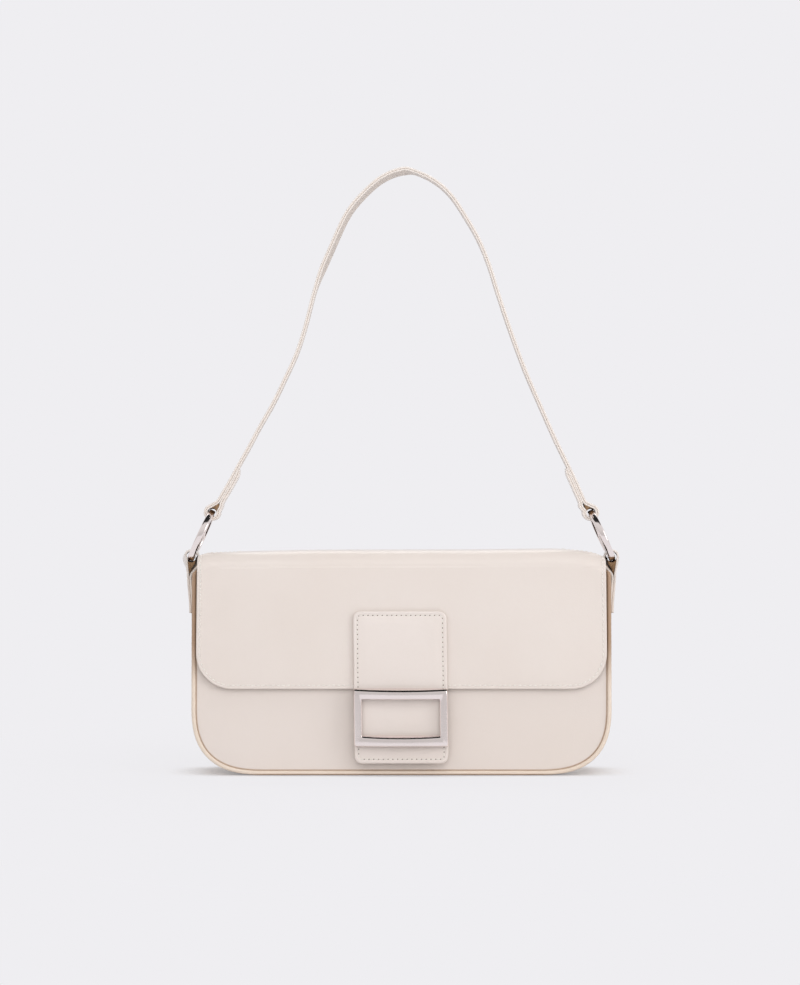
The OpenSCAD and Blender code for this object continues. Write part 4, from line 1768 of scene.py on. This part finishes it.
@dataclass
class Studio:
    """Pale floor that curves up into a backdrop, soft lamps and the camera."""

    tone: Colour = (0.86, 0.855, 0.870)
    lens: float = 112.4
    distance: float = 1.93
    height: float = 0.1749
    shift: float = -0.00094

    def floor(self) -> bpy.types.Object:
        """Floor and backdrop in one curved sheet that keeps a soft shadow by the bag.

        Returns:
            The object.
        """
        prof = [(-6.0, 0.0), (1.2, 0.0)]
        prof += [(1.2 + 1.6 * math.sin(a), 1.6 - 1.6 * math.cos(a))
                 for a in np.linspace(0.05, math.pi / 2, 24)]
        prof.append((2.8, 7.0))
        data = bpy.data.meshes.new("backdrop")
        verts = [(x, y, z) for y, z in prof for x in (-7.0, 7.0)]
        faces = [(2 * k, 2 * k + 1, 2 * k + 3, 2 * k + 2) for k in range(len(prof) - 1)]
        data.from_pydata(verts, [], faces)
        data.polygons.foreach_set("use_smooth", [True] * len(faces))
        made = bpy.data.objects.new("backdrop", data)
        bpy.context.collection.objects.link(made)
        s = Shader("pale backdrop")
        s.set(Base_Color=s.mix(s.noise(300.0, 2.0) * 0.05, self.tone, (0.82, 0.82, 0.84)),
              Roughness=0.9, Specular_IOR_Level=0.1)
        camera, glossy, through = (s.node("ShaderNodeLightPath", {}, {}, name) for name in (
            "Is Camera Ray", "Is Glossy Ray", "Is Transmission Ray"))
        seen = (camera + glossy + through).clamp()
        far = s.node("ShaderNodeVectorMath", {"operation": "LENGTH"},
                     {0: s.position((1.9, 1.0, 1.2))}, "Value").step(0.24, 0.60)
        x, y = s.axis(0), s.axis(1)
        near = ((x * x * 55.0) ** 2.0 + (y * y * 600.0) ** 2.0).step(0.5, 1.5)
        glow = s.node("ShaderNodeEmission", {}, {"Color": (0.863, 0.855, 0.880), "Strength": 1.0})
        mixed = s.node("ShaderNodeMixShader", {}, {
            0: seen * (far * 0.14 + near * 0.58 + 0.28),
            1: Socket(s, s.surface.outputs[0]), 2: glow})
        s.plug(s.out.inputs["Surface"], mixed)
        data.materials.append(s.material)
        return made

    def lamp(self, name: str, at: Colour, size: tuple[float, float], power: float,
             shown: bool = False) -> None:
        """Adds one soft box that faces the bag.

        Args:
            name: the lamp's name.
            at: its place in metres.
            size: its two sides in metres.
            power: its power in watts.
            shown: seen in glossy surfaces.
        """
        data = bpy.data.lights.new(name, "AREA")
        data.shape = "RECTANGLE"
        data.size, data.size_y = size
        data.energy = power
        made = bpy.data.objects.new(name, data)
        made.visible_glossy = shown
        made.location = at
        aim = Vector((0.0, 0.0, 0.14)) - Vector(at)
        made.rotation_euler = aim.to_track_quat("-Z", "Y").to_euler()
        bpy.context.collection.objects.link(made)

    def world(self) -> None:
        """Adds the room: grey below, bright at eye level and dark overhead."""
        world = bpy.data.worlds.new("studio")
        bpy.context.scene.world = world
        world.use_nodes = True
        tree = world.node_tree
        place, over, half, ramp = (tree.nodes.new(kind) for kind in (
            "ShaderNodeTexCoord", "ShaderNodeVectorMath", "ShaderNodeMath", "ShaderNodeValToRGB"))
        over.operation, half.operation = "DOT_PRODUCT", "MULTIPLY_ADD"
        over.inputs[1].default_value = (0.0, 0.13, 0.99)
        half.inputs[1].default_value = half.inputs[2].default_value = 0.5
        tree.links.new(place.outputs["Generated"], over.inputs[0])
        tree.links.new(over.outputs["Value"], half.inputs[0])
        tree.links.new(half.outputs[0], ramp.inputs[0])
        stops = ramp.color_ramp.elements
        stops[0].position, stops[0].color = 0.0, (0.785, 0.755, 0.75, 1.0)
        stops[1].position, stops[1].color = 1.0, (0.03, 0.03, 0.03, 1.0)
        for at, grey in ((0.50, 0.775), (0.66, 0.95), (0.862, 1.0), (0.884, 0.03)):
            stops.new(at).color = (grey, grey * 0.985, grey * 0.985, 1.0)
        back = tree.nodes["Background"]
        tree.links.new(ramp.outputs[0], back.inputs["Color"])
        back.inputs["Strength"].default_value = 0.8

    def camera(self) -> None:
        """Adds the camera, level and far in front of the bag."""
        data = bpy.data.cameras.new("camera")
        data.lens, data.sensor_width, data.clip_end = self.lens, 36.0, 40.0
        made = bpy.data.objects.new("camera", data)
        made.location = (self.shift, -self.distance, self.height)
        made.rotation_euler = (math.pi / 2, 0.0, 0.0)
        bpy.context.collection.objects.link(made)
        bpy.context.scene.camera = made
        bpy.context.scene.view_settings.view_transform = "Standard"

    def build(self) -> None:
        """Sets up floor, lamps, room and camera."""
        self.floor()
        self.lamp("soft box above", (0.35, -2.0, 1.75), (2.0, 1.2), 11.2)
        self.lamp("soft box right", (2.0, -1.3, 0.8), (1.1, 1.3), 12.0, shown=True)
        self.lamp("soft box front", (-0.3, -2.6, 0.9), (2.4, 0.9), 10.3)
        self.lamp("soft box behind", (0.0, 0.9, 1.5), (1.6, 0.8), 6.0, shown=True)
        self.lamp("soft box overhead", (0.0, -0.35, 2.0), (1.6, 0.9), 8.6)
        self.world()
        self.camera()


def dress_packed(frame: dict, finishes: Finishes) -> None:
    """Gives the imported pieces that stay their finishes.

    Args:
        frame: the loaded frame.
        finishes: the bag's finishes.
    """
    boards = ("base_board", "front_board", "back_board")
    plates = ("magnet_socket", "socket_washer", "magnet_stud", "stud_washer", "frame_washers")
    for node in boards + plates:
        for slot in frame["nodes"][node].material_slots:
            slot.material = finishes.board if node in boards else finishes.snap


def main() -> None:
    """Builds the bag and its scene."""
    logging.basicConfig(level=logging.INFO, format="%(message)s")
    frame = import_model()
    shape = Shape()
    finishes = Finishes()
    Studio().build()
    for part in (BagBody(shape, finishes), Flap(shape, finishes), Closure(shape, finishes),
                 Carrying(shape, finishes)):
        for made in part.build():
            LOG.info("%s built", made.name)
    dress_packed(frame, finishes)


if __name__ == "__main__":
    main()
